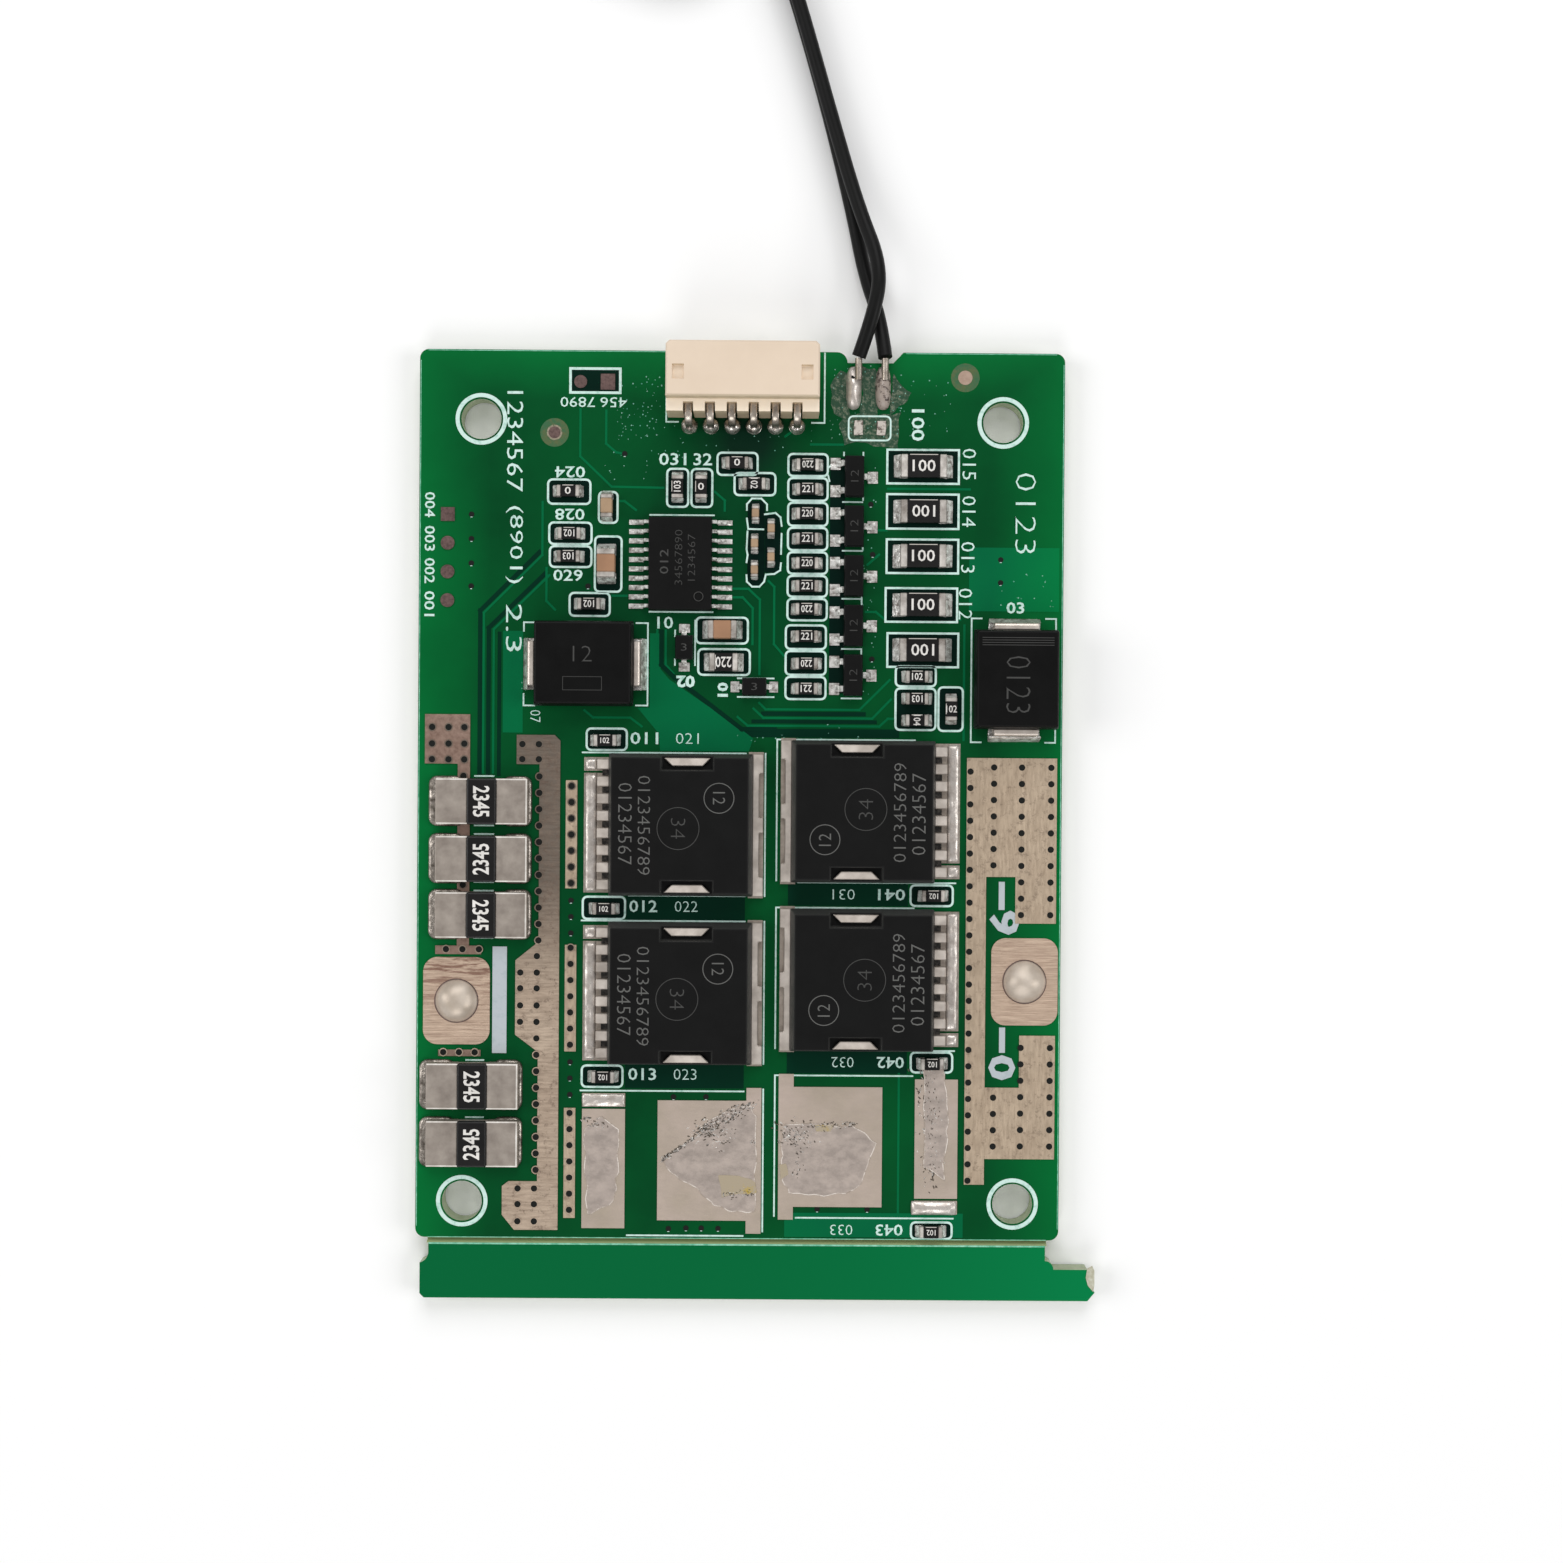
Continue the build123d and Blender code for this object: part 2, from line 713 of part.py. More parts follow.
def chips(make, batches):
    """One piece of every chip in a group, made by the given function."""
    shapes = [(make(size).part, spots) for size, spots in batches]
    with BuildPart() as group:
        for shape, spots in shapes:
            with Locations(*spots):
                add(shape)
    return group


for chip_name, batches in chip_groups.items():
    hand_over(chips(chip_body, batches), f"{chip_name}_bodies")
    hand_over(chips(chip_caps, batches), f"{chip_name}_caps")
every_chip = [batch for batches in chip_groups.values() for batch in batches]
hand_over(chips(chip_joints, every_chip), "chip_solder")


# Small moulded packages: a drafted body and gull-wing leads on their own lands


def moulded_body(length, width, height, standoff, part_line, draft):
    """A moulded body, drafted up and down from the line where its leads come out."""
    with BuildPart() as body:
        with BuildSketch(Plane.XY.offset(part_line)):
            Rectangle(length, width)
        extrude(amount=standoff + height - part_line, taper=draft)
        with BuildSketch(Plane(origin=(0, 0, part_line), x_dir=(1, 0, 0), z_dir=(0, 0, -1))):
            Rectangle(length, width)
        extrude(amount=part_line - standoff, taper=draft)
    return body


def small_body(length, width, height):
    """A small body that parts half-way up and stands just off the board."""
    return moulded_body(length, width, height - small_standoff, small_standoff, height / 2, mould_draft)


def gull_lead(edge, toe, foot, exit_z, metal, width):
    """One lead towards +X: out of the body, down, and a foot on its land."""
    heel = toe - foot
    slope = metal / 2
    with BuildPart() as lead:
        with BuildSketch(Plane.XZ.offset(-width / 2)):
            with BuildLine():
                Polyline(
                    (edge, exit_z + metal / 2), (heel - slope, exit_z + metal / 2), (heel + slope / 2, metal),
                    (toe, metal), (toe, 0), (heel - slope, 0), (heel - 2.5 * slope, exit_z - metal / 2),
                    (edge, exit_z - metal / 2), close=True,
                )
            make_face()
        extrude(amount=width)
    return lead


def lead_land(toe, foot, reach, width):
    """The land under one foot, reaching past its toe."""
    with BuildPart() as land:
        with BuildSketch():
            with Locations((toe + (reach - foot) / 2, 0)):
                Rectangle(foot + reach, width)
        extrude(amount=-land_thickness)
    return land


def both_sides(ys, other_ys):
    """Places of leads at the +X side and, turned half round, at the -X side."""
    return [Location((0, y, 0)) for y in ys] + [Location((0, y, 0), (0, 0, 180)) for y in other_ys]


# Monitor chip
side_count = chip_lead_count // 2
chip_ys = [(i - (side_count - 1) / 2) * chip_lead_pitch for i in range(side_count)]
chip_exit_z = chip_standoff + chip_body_height / 2
chip_place = in_field(chip_x, chip_y)
chip_shell = moulded_body(
    chip_body_width, chip_body_length, chip_body_height, chip_standoff, chip_exit_z, mould_draft
)
with BuildPart() as monitor_chip_body:
    with Locations(chip_place):
        add(chip_shell.part)
    with BuildSketch(Plane.XY.offset(seat_z + chip_standoff + chip_body_height)):
        with Locations((
            chip_x + chip_body_width / 2 - chip_dimple_inset[0],
            field_y(chip_y) - chip_body_length / 2 + chip_dimple_inset[1],
        )):
            Circle(chip_dimple_diameter / 2)
    extrude(amount=-chip_dimple_depth, mode=Mode.SUBTRACT)
hand_over(monitor_chip_body, "monitor_chip_body")
chip_lead = gull_lead(
    chip_body_width / 2, chip_span / 2, chip_foot, chip_exit_z, chip_lead_thickness, chip_lead_width
)
chip_lead_row = copies(chip_lead.part, both_sides(chip_ys, chip_ys))
hand_over(copies(chip_lead_row.part, [chip_place]), "monitor_chip_leads")
chip_land = lead_land(chip_span / 2, chip_foot, small_land_reach, chip_lead_width + small_land_margin)
chip_land_row = copies(chip_land.part, both_sides(chip_ys, chip_ys))

# Bypass transistors: one lead towards +X and two towards -X
bypass_exit_z = bypass_height / 2
bypass_body = small_body(bypass_width, bypass_length, bypass_height)
bypass_places = [in_field(bypass_x, bypass_top_y - row * bypass_pitch) for row in range(bypass_count)]
bypass_sides = both_sides([0], [-bypass_lead_pitch / 2, bypass_lead_pitch / 2])
bypass_lead = gull_lead(
    bypass_width / 2, bypass_span / 2, small_foot, bypass_exit_z, bypass_lead_thickness, bypass_lead_width
)
bypass_lead_set = copies(bypass_lead.part, bypass_sides)
hand_over(copies(bypass_body.part, bypass_places), "bypass_transistor_bodies")
hand_over(copies(bypass_lead_set.part, bypass_places), "bypass_transistor_leads")
bypass_land = lead_land(bypass_span / 2, small_foot, small_land_reach, bypass_lead_width + wide_land_margin)
bypass_land_set = copies(bypass_land.part, bypass_sides)

# Clamp diodes: one stands across the board's length, one along it
clamp_exit_z = clamp_height / 2
clamp_body = small_body(clamp_length, clamp_width, clamp_height)
clamp_places = [in_field(*upright_clamp_spot, 90), in_field(*level_clamp_spot)]
clamp_lead = gull_lead(
    clamp_length / 2, clamp_span / 2, clamp_foot, clamp_exit_z, clamp_lead_thickness, clamp_lead_width
)
clamp_lead_pair = copies(clamp_lead.part, both_sides([0], [0]))
hand_over(copies(clamp_body.part, clamp_places), "clamp_diode_bodies")
hand_over(copies(clamp_lead_pair.part, clamp_places), "clamp_diode_leads")
clamp_land = lead_land(clamp_span / 2, clamp_foot, small_land_reach, clamp_lead_width + wide_land_margin)
clamp_land_pair = copies(clamp_land.part, both_sides([0], [0]))

with BuildPart() as component_lands:
    with Locations(chip_place):
        add(chip_land_row.part)
    with Locations(*bypass_places):
        add(bypass_land_set.part)
    with Locations(*clamp_places):
        add(clamp_land_pair.part)
hand_over(component_lands, "component_lands")


# Large diodes: flat leads come out half-way up, turn down and fold under the body

diode_body = moulded_body(
    diode_length, diode_width, diode_height - diode_metal, diode_metal, diode_lead_height, mould_draft
)
with BuildPart() as diode_leads:
    with BuildSketch(Plane.XZ.offset(-diode_lead_width / 2)):
        with BuildLine():
            lead_end = diode_length / 2
            bend = lead_end + diode_lead_reach
            Polyline(
                (lead_end, diode_lead_height + diode_metal / 2), (bend, diode_lead_height + diode_metal / 2),
                (bend, 0), (bend - diode_fold, 0), (bend - diode_fold, diode_metal),
                (bend - diode_metal, diode_metal), (bend - diode_metal, diode_lead_height - diode_metal / 2),
                (lead_end, diode_lead_height - diode_metal / 2), close=True,
            )
        profile = make_face()
        fillet(profile.vertices().group_by(Axis.X)[-1], diode_metal)
    extrude(amount=diode_lead_width)
    mirror(about=Plane.YZ)
with BuildPart() as diode_joints:
    with BuildSketch(Plane.XZ.offset(-diode_land_width / 2)):
        with BuildLine():
            toe = bend + diode_land_reach
            Polyline(
                (bend - diode_fold, -land_thickness), (toe, -land_thickness), (toe, 0),
                (bend, diode_solder_climb), (bend, 0), (bend - diode_fold, 0), close=True,
            )
        make_face()
    extrude(amount=diode_land_width)
    mirror(about=Plane.YZ)
    with BuildSketch():
        with Locations((bend - diode_metal, 0)):
            Rectangle(2 * diode_metal, diode_lead_width)
    extrude(amount=diode_solder_climb, mode=Mode.SUBTRACT)
suppressor_place = in_field(*suppressor_spot)
power_diode_place = in_field(*power_diode_spot, 90)
hand_over(copies(diode_body.part, [suppressor_place]), "suppressor_diode_body")
hand_over(copies(diode_leads.part, [suppressor_place]), "suppressor_diode_leads")
hand_over(copies(diode_body.part, [power_diode_place]), "power_diode_body")
hand_over(copies(diode_leads.part, [power_diode_place]), "power_diode_leads")
hand_over(copies(diode_joints.part, [suppressor_place, power_diode_place]), "diode_solder")


# Test lands: four programming pads, two jumper pads and one empty chip place

with BuildPart() as test_lands:
    with BuildSketch(Plane.XY.offset(board_thickness)):
        program_pad_ys = [board_top - program_pad_drop - row * program_pad_pitch for row in range(4)]
        with Locations((program_pad_x, program_pad_ys[0])):
            Rectangle(2 * program_pad_radius, 2 * program_pad_radius)
        with Locations(*[(program_pad_x, y) for y in program_pad_ys[1:]]):
            Circle(program_pad_radius)
        with Locations((jumper_dot_x, board_top - jumper_drop)):
            Circle(jumper_dot_radius)
        with Locations((jumper_pad_x, board_top - jumper_drop)):
            Rectangle(*jumper_pad_size)
        with Locations(*[(x, board_top - open_pad_drop) for x in open_pad_xs]):
            Rectangle(*open_pad_size)
    extrude(amount=land_thickness)
hand_over(test_lands, "test_lands")


# Socket: a moulded housing with a keyed mouth, sight windows and a slotted step for the pins

step_back_y = socket_back_y - socket_step
mouth_width = socket_width - 2 * socket_wall
mouth_height = socket_height - socket_floor - socket_roof
mouth_z = board_thickness + socket_floor + mouth_height / 2
pin_z = board_thickness + pin_height
front_plane = Plane.XZ.offset(-board_top)
with BuildPart() as socket_housing:
    with BuildSketch(Plane.XY.offset(board_thickness)):
        with Locations((socket_x, board_top - socket_depth / 2)):
            Rectangle(socket_width, socket_depth)
    extrude(amount=socket_height)
    chamfer(edges().filter_by(Axis.Z).group_by(Axis.Y)[-1], socket_edge)
    chamfer(faces().sort_by(Axis.Z)[-1].edges(), socket_edge / 2)
    with BuildSketch(Plane.XY.offset(board_thickness)):
        with Locations((socket_x, socket_back_y - socket_step / 2)):
            Rectangle(socket_width, socket_step)
    extrude(amount=socket_step_height)
    with BuildSketch(Plane.XY.offset(board_thickness)):
        slot_reach = socket_step - socket_slot_wall
        with Locations(*[(x, step_back_y + slot_reach / 2) for x in pin_xs]):
            Rectangle(socket_slot_width, slot_reach)
    extrude(amount=socket_step_height, mode=Mode.SUBTRACT)
    with BuildSketch(front_plane):
        with Locations((socket_x, mouth_z)):
            Rectangle(mouth_width, mouth_height)
        for side in (1, -1):
            key_x = socket_x + side * (mouth_width / 2 - socket_key_inset)
            with Locations((key_x, mouth_z + mouth_height / 2)):
                Rectangle(socket_key_width, 2 * socket_key_depth)
    extrude(amount=socket_mouth_depth, mode=Mode.SUBTRACT)
    with BuildSketch(front_plane):
        with Locations(*[(x, pin_z) for x in pin_xs]):
            Rectangle(pin_size, pin_size)
    extrude(amount=socket_depth + socket_step, mode=Mode.SUBTRACT)
    with BuildSketch(Plane.XY.offset(board_thickness + socket_height)):
        for side in (1, -1):
            window_x = socket_x + side * (socket_width / 2 - socket_window_inset - socket_window_width / 2)
            with Locations((window_x, board_top - socket_window_back)):
                Rectangle(socket_window_width, socket_window_length)
    extrude(amount=-socket_window_depth, mode=Mode.SUBTRACT)
hand_over(socket_housing, "socket_housing")

with BuildPart() as socket_pin:
    with BuildLine(Plane.YZ):
        pin_tip_y = board_top - socket_mouth_depth + pin_reach
        FilletPolyline((pin_tip_y, pin_z), (pin_row_y, pin_z), (pin_row_y, 0), radius=pin_bend)
    with BuildSketch(Plane(origin=(0, pin_tip_y, pin_z), x_dir=(1, 0, 0), z_dir=(0, -1, 0))):
        Rectangle(pin_size, pin_size)
    sweep()
    chamfer(faces().sort_by(Axis.Y)[-1].edges(), pin_size / 5)
pin_places = [Location((x, 0, 0)) for x in pin_xs]
hand_over(copies(socket_pin.part, pin_places), "socket_pins")

with BuildPart() as pin_joint:
    with BuildSketch(Plane(origin=(0, pin_row_y, board_thickness))):
        RegularPolygon(pin_solder_diameter / 2, 8, rotation=22.5)
    extrude(amount=pin_solder_height, taper=pin_solder_draft)
    with BuildSketch(Plane(origin=(0, pin_row_y, board_thickness))):
        Rectangle(pin_size, pin_size)
    extrude(amount=pin_solder_height, mode=Mode.SUBTRACT)
hand_over(copies(pin_joint.part, pin_places), "socket_solder")


# Sensor leads: two limp leads cross once past the board's edge, then lie one on the other

left_route = [(x, board_top + reach, z) for x, reach, z in left_lead_points]
right_route = [(x, board_top + reach, z) for x, reach, z in right_lead_points]
coil_inner_turn_radius = coil_outer_turn_radius - (coil_turns - 1) * lead_diameter
coil_middle_z = coil_lift + lead_diameter
entry = radians(coil_entry_angle)
entry_heading = Vector(-sin(entry), cos(entry), 0)
coil_centre = Vector(coil_x, board_top + coil_reach, 0)
touch = coil_centre + Vector(cos(entry), sin(entry), 0) * coil_outer_turn_radius
coil_door = touch - entry_heading * coil_entry_length


def corner_radii(route):
    """Radius of the arc at each corner: 0.45 of its shorter run over the tangent of half its turn."""
    radii = []
    for before, corner, after in zip(route, route[1:], route[2:]):
        into = Vector(*corner) - Vector(*before)
        out = Vector(*after) - Vector(*corner)
        half_turn = radians(into.get_angle(out)) / 2
        radii.append(0.45 * min(into.length, out.length) / tan(half_turn))
    return radii


def lead_tube(route, door_z):
    """One insulated lead along its route, into the coil's door at its own level."""
    approach = coil_door - entry_heading * coil_approach
    points = [*route, (approach.X, approach.Y, door_z), (coil_door.X, coil_door.Y, door_z)]
    radii = corner_radii(points)
    start = Vector(*points[0])
    with BuildPart() as tube:
        with BuildLine() as path:
            FilletPolyline(*points, radius=radii)
        with BuildSketch(Plane(origin=start, z_dir=Vector(*points[1]) - start)):
            Circle(lead_diameter / 2)
        sweep()
    section = pi * (lead_diameter / 2) ** 2
    length = sum(edge.length for edge in path.edges())
    print(f"lead {length:.1f} long, radii {min(radii):.1f} to {max(radii):.1f}, ", end="")
    print(f"volume {tube.part.volume:.2f} against {section * length:.2f}")
    return tube


def lead_strand(route):
    """The bare strands of one lead, running level from its insulation into the solder."""
    start = Vector(*route[0]) - Vector(0, strand_gap, 0)
    with BuildPart() as strand:
        with BuildSketch(Plane(origin=start, z_dir=(0, -1, 0))):
            Circle(strand_diameter / 2)
        extrude(amount=strand_length)
    return strand


sensor_lead_left = lead_tube(left_route, coil_middle_z + lead_diameter / 2)
hand_over(sensor_lead_left, "sensor_lead_left")
sensor_lead_right = lead_tube(right_route, coil_middle_z - lead_diameter / 2)
hand_over(sensor_lead_right, "sensor_lead_right")
strands = [lead_strand(left_route).part, lead_strand(right_route).part]
with BuildPart() as sensor_lead_strands:
    add(strands)
hand_over(sensor_lead_strands, "sensor_lead_strands")
with BuildPart() as sensor_lead_solder:
    with BuildSketch(Plane.XY.offset(board_thickness)):
        with Locations(*[(x, board_top - lead_pad_drop) for x in lead_pad_xs]):
            Rectangle(lead_pad_width, lead_pad_length)
        chamfer(vertices(), lead_pad_corner)
    extrude(amount=lead_solder_height + land_thickness, taper=lead_solder_draft)
    for route in (left_route, right_route):
        groove_x, groove_y, groove_z = route[0]
        with BuildSketch(Plane.XY.offset(groove_z - strand_diameter / 2)):
            with Locations((groove_x, groove_y - (strand_gap + strand_length) / 2)):
                Rectangle(strand_diameter, strand_gap + strand_length)
        extrude(amount=strand_diameter, mode=Mode.SUBTRACT)
hand_over(sensor_lead_solder, "sensor_lead_solder")

# The coil's outer shape: a ring two leads wide and two high, with its entering and leaving ends
with BuildPart() as sensor_coil:
    with BuildSketch(Plane(origin=coil_centre, x_dir=(1, 0, 0), z_dir=(0, -1, 0))):
        with Locations(((coil_outer_turn_radius + coil_inner_turn_radius) / 2, coil_middle_z)):
            Rectangle(coil_turns * lead_diameter, 2 * lead_diameter)
    revolve(axis=Axis(coil_centre, (0, 0, 1)))
    door_middle = coil_door + Vector(0, 0, coil_middle_z)
    with BuildSketch(Plane(origin=door_middle, x_dir=(0, 0, 1), z_dir=entry_heading)):
        Rectangle(2 * lead_diameter, lead_diameter)
    extrude(amount=coil_entry_length)
    leave = radians(coil_leave_angle)
    inward = radians(coil_leave_angle + 90 + coil_leave_turn)
    leave_heading = Vector(cos(inward), sin(inward), 0)
    leave_point = coil_centre + Vector(cos(leave), sin(leave), 0) * coil_inner_turn_radius
    leave_middle = leave_point + Vector(0, 0, coil_middle_z)
    with BuildSketch(Plane(origin=leave_middle, x_dir=(0, 0, 1), z_dir=leave_heading)):
        Rectangle(2 * lead_diameter, lead_diameter)
    extrude(amount=coil_leave_length)
hand_over(sensor_coil, "sensor_coil")

# Bead: a drop of resin on the leads' ends, turned about its own axis
bead_back = leave_middle + leave_heading * coil_leave_length
bead_side = leave_heading.cross(Vector(0, 0, 1))
with BuildPart() as sensor_bead:
    with BuildSketch(Plane(origin=bead_back, x_dir=leave_heading, z_dir=bead_side)):
        with BuildLine():
            Polyline(
                (0, 0), (bead_length, 0), (bead_length, bead_tip_diameter / 2),
                (bead_shoulder, bead_diameter / 2), (0, bead_back_diameter / 2), close=True,
            )
        make_face()
    revolve(axis=Axis(bead_back, leave_heading))
hand_over(sensor_bead, "sensor_bead")

# Tie: a short sleeve hugging the ring's section
with BuildPart() as sensor_coil_tie:
    tie_heading = radians(tie_turn)
    with BuildSketch(
        Plane(
            origin=coil_centre,
            x_dir=(cos(tie_heading), sin(tie_heading), 0),
            z_dir=(sin(tie_heading), -cos(tie_heading), 0),
        )
    ):
        with Locations(((coil_outer_turn_radius + coil_inner_turn_radius) / 2, coil_middle_z)):
            Rectangle(coil_turns * lead_diameter + 2 * tie_skin, 2 * lead_diameter + 2 * tie_skin)
            Rectangle(coil_turns * lead_diameter, 2 * lead_diameter, mode=Mode.SUBTRACT)
    revolve(axis=Axis(coil_centre, (0, 0, 1)), revolution_arc=tie_angle)
hand_over(sensor_coil_tie, "sensor_coil_tie")
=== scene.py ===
import bmesh
import bpy
import random
from functools import cache
from math import cos, radians, sin
from mathutils import Matrix, Vector, noise


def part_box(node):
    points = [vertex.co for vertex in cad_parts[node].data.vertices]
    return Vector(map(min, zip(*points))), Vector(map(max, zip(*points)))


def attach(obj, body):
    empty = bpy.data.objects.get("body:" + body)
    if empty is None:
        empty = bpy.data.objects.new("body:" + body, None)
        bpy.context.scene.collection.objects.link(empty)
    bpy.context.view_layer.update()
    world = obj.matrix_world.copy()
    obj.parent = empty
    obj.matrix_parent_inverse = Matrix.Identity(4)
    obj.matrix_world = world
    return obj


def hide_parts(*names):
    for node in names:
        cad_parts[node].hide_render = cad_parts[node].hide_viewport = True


# Battery management board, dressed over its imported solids.
# Meshes are drawn in millimetres and scaled to metres when each piece is finished.
MM = 0.001
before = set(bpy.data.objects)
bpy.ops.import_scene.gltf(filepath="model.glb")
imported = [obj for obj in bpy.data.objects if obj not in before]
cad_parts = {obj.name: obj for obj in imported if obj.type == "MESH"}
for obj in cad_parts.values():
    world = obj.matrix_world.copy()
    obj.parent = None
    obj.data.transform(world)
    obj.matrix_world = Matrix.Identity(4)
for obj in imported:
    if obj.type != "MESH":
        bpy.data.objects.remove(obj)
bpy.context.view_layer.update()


def mm_box(node):
    """Lowest corner, middle and highest corner of a CAD node in millimetres."""
    low, high = (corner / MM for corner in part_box(node))
    return low, (low + high) / 2, high


# Heights of the surfaces that marks and fittings lie on, and thicknesses of thin layers
board_high = mm_box("circuit_board")[2]
mask_z = board_high.z
land_z = mm_box("left_bus_land")[2].z
copper_skin = 0.02
ink_skin = 0.045
mark_skin = 0.015
row_pitch = 11.74
white_line = 0.15
thin_line = 0.11
trace_width = 0.16
narrow_land = 3.2
power_transistors = ("discharge_transistor_1", 1), ("discharge_transistor_2", 1), (
    "charge_transistor_1", -1), ("charge_transistor_2", -1)

# The wavering edges come from a seeded field, so that every run draws the same ones
edge_seed = 7
noise.seed_set(edge_seed)


# Node graphs


class Graph:
    """Adds and joins the nodes of one material or one group."""

    def __init__(self, tree):
        self.tree = tree

    def feed(self, socket, value):
        """Joins a socket to another, or sets it. None leaves it as it is."""
        if isinstance(value, bpy.types.NodeSocket):
            self.tree.links.new(value, socket)
        elif isinstance(value, tuple):
            socket.default_value = (*value, 1.0)[:len(socket.default_value)]
        elif value is not None:
            socket.default_value = value

    def add(self, kind, *values, out=0, **settings):
        """Adds a node, feeds its sockets in turn and gives back one of its outputs."""
        node = self.tree.nodes.new("ShaderNode" + kind)
        for key, value in settings.items():
            setattr(node, key, value)
        for socket, value in zip(node.inputs, values):
            self.feed(socket, value)
        return node.outputs[out]

    def scaled(self, vector, factor):
        return self.add("VectorMath", vector, None, None, factor, operation="SCALE")

    def position(self):
        """Object coordinates in millimetres."""
        return self.scaled(self.add("TexCoord", out="Object"), 1 / MM)

    def axis(self, vector, name):
        return self.add("SeparateXYZ", vector, out=name)

    def noise(self, where, scale, detail, roughness):
        return self.add("TexNoise", where, None, scale, detail, roughness)

    def spread(self, value, low, high, to_low=0.0, to_high=1.0):
        """A value run from one range to another, held at both ends."""
        return self.add("MapRange", value, low, high, to_low, to_high)

    def math(self, operation, first, second):
        return self.add("Math", first, second, operation=operation)

    def blend(self, mask, first, second):
        """Two colours, each a socket or three numbers, blended by a mask."""
        return self.add("Mix", mask, *[None] * 5, first, second, out=2, data_type="RGBA")


def effect(name, inputs, output, build):
    """A shader node group that several finishes share."""
    tree = bpy.data.node_groups.new(name, "ShaderNodeTree")
    for label, value in inputs.items():
        socket = tree.interface.new_socket(label, in_out="INPUT", socket_type="NodeSocketFloat")
        socket.default_value = value
    tree.interface.new_socket(output, in_out="OUTPUT", socket_type="NodeSocketFloat")
    given = tree.nodes.new("NodeGroupInput").outputs
    tree.links.new(build(Graph(tree), given), tree.nodes.new("NodeGroupOutput").inputs[output])
    return tree


def build_blotches(graph, given):
    """Soft clouds a few millimetres across."""
    where = graph.scaled(graph.position(), graph.math("DIVIDE", 1.0, given["Size"]))
    return graph.spread(graph.noise(where, 1.0, 4.0, 0.6), given["Low"], given["High"])


def build_scratches(graph, given):
    """Fine wiping marks, long one way and narrow the other."""
    where = graph.position()
    stretched = [graph.math("MULTIPLY", graph.axis(where, name), given[f"Across {name}"]) for name in "XY"]
    return graph.spread(graph.noise(graph.add("CombineXYZ", *stretched), 1.0, 5.0, 0.7), 0.38, 0.66)


def build_grain(graph, given):
    """Fine even grain, as of moulding resin or dull plating."""
    return graph.noise(graph.scaled(graph.position(), given["Scale"]), 1.0, 6.0, 0.7)


blotches = effect("soft_blotches", {"Size": 3.0, "Low": 0.35, "High": 0.65}, "Mask", build_blotches)
scratches = effect("wiping_scratches", {"Across X": 1.0, "Across Y": 12.0}, "Mask", build_scratches)
fine_grain = effect("fine_grain", {"Scale": 12.0}, "Height", build_grain)


class Finish(Graph):
    """One material: its graph and its shader."""

    def __init__(self, name, roughness, metallic=0.0, specular=0.3, coat=0.0, coat_roughness=0.1):
        self.material = bpy.data.materials.new(name)
        self.material.use_nodes = True
        super().__init__(self.material.node_tree)
        self.sockets = self.tree.nodes["Principled BSDF"].inputs
        for label, value in (
            ("Roughness", roughness), ("Metallic", metallic), ("Specular IOR Level", specular),
            ("Coat Weight", coat), ("Coat Roughness", coat_roughness),
        ):
            self.sockets[label].default_value = value

    def clouds(self, size, low=0.3, high=0.7):
        return self.add("Group", size, low, high, node_tree=blotches)

    def wiping(self, across_x, across_y):
        return self.add("Group", across_x, across_y, node_tree=scratches)

    def grain(self, scale):
        return self.add("Group", scale, node_tree=fine_grain)

    def along(self, name):
        """One coordinate of the surface in millimetres."""
        return self.axis(self.position(), name)

    def facing(self, name):
        """How far the surface faces along one axis of the board."""
        return self.axis(self.add("TexCoord", out="Normal"), name)

    def finished(self, tone, height=None, strength=0.0, depth=0.02, rough=None):
        """Joins the colour, the relief, and a roughness that follows a mask, where they are given."""
        self.feed(self.sockets["Base Color"], tone)
        if rough:
            mask, low, high = rough
            self.feed(self.sockets["Roughness"], self.spread(mask, 0.0, 1.0, low, high))
        if height:
            relief = self.tree.nodes.new("ShaderNodeBump")
            for label, value in (("Strength", strength), ("Distance", depth * MM), ("Height", height)):
                self.feed(relief.inputs[label], value)
            self.feed(self.sockets["Normal"], relief.outputs[0])
        return self.material


# Finishes


def mask_green(name, deep, clear):
    """Glossy green solder mask, lighter towards the board's outer edges."""
    finish = Finish(name, 0.36, specular=0.07, coat=0.04, coat_roughness=0.18)
    side = finish.math("ABSOLUTE", finish.along("X"), 0.0)
    rim = finish.math("MAXIMUM", finish.spread(side, 17.5, 22.5), finish.spread(finish.along("Y"), 27.5, 31.0))
    cloud = finish.math("MULTIPLY", finish.clouds(9.0, 0.3, 0.75), 0.3)
    return finish, finish.blend(finish.math("ADD", finish.math("MULTIPLY", rim, 0.62), cloud), deep, clear)


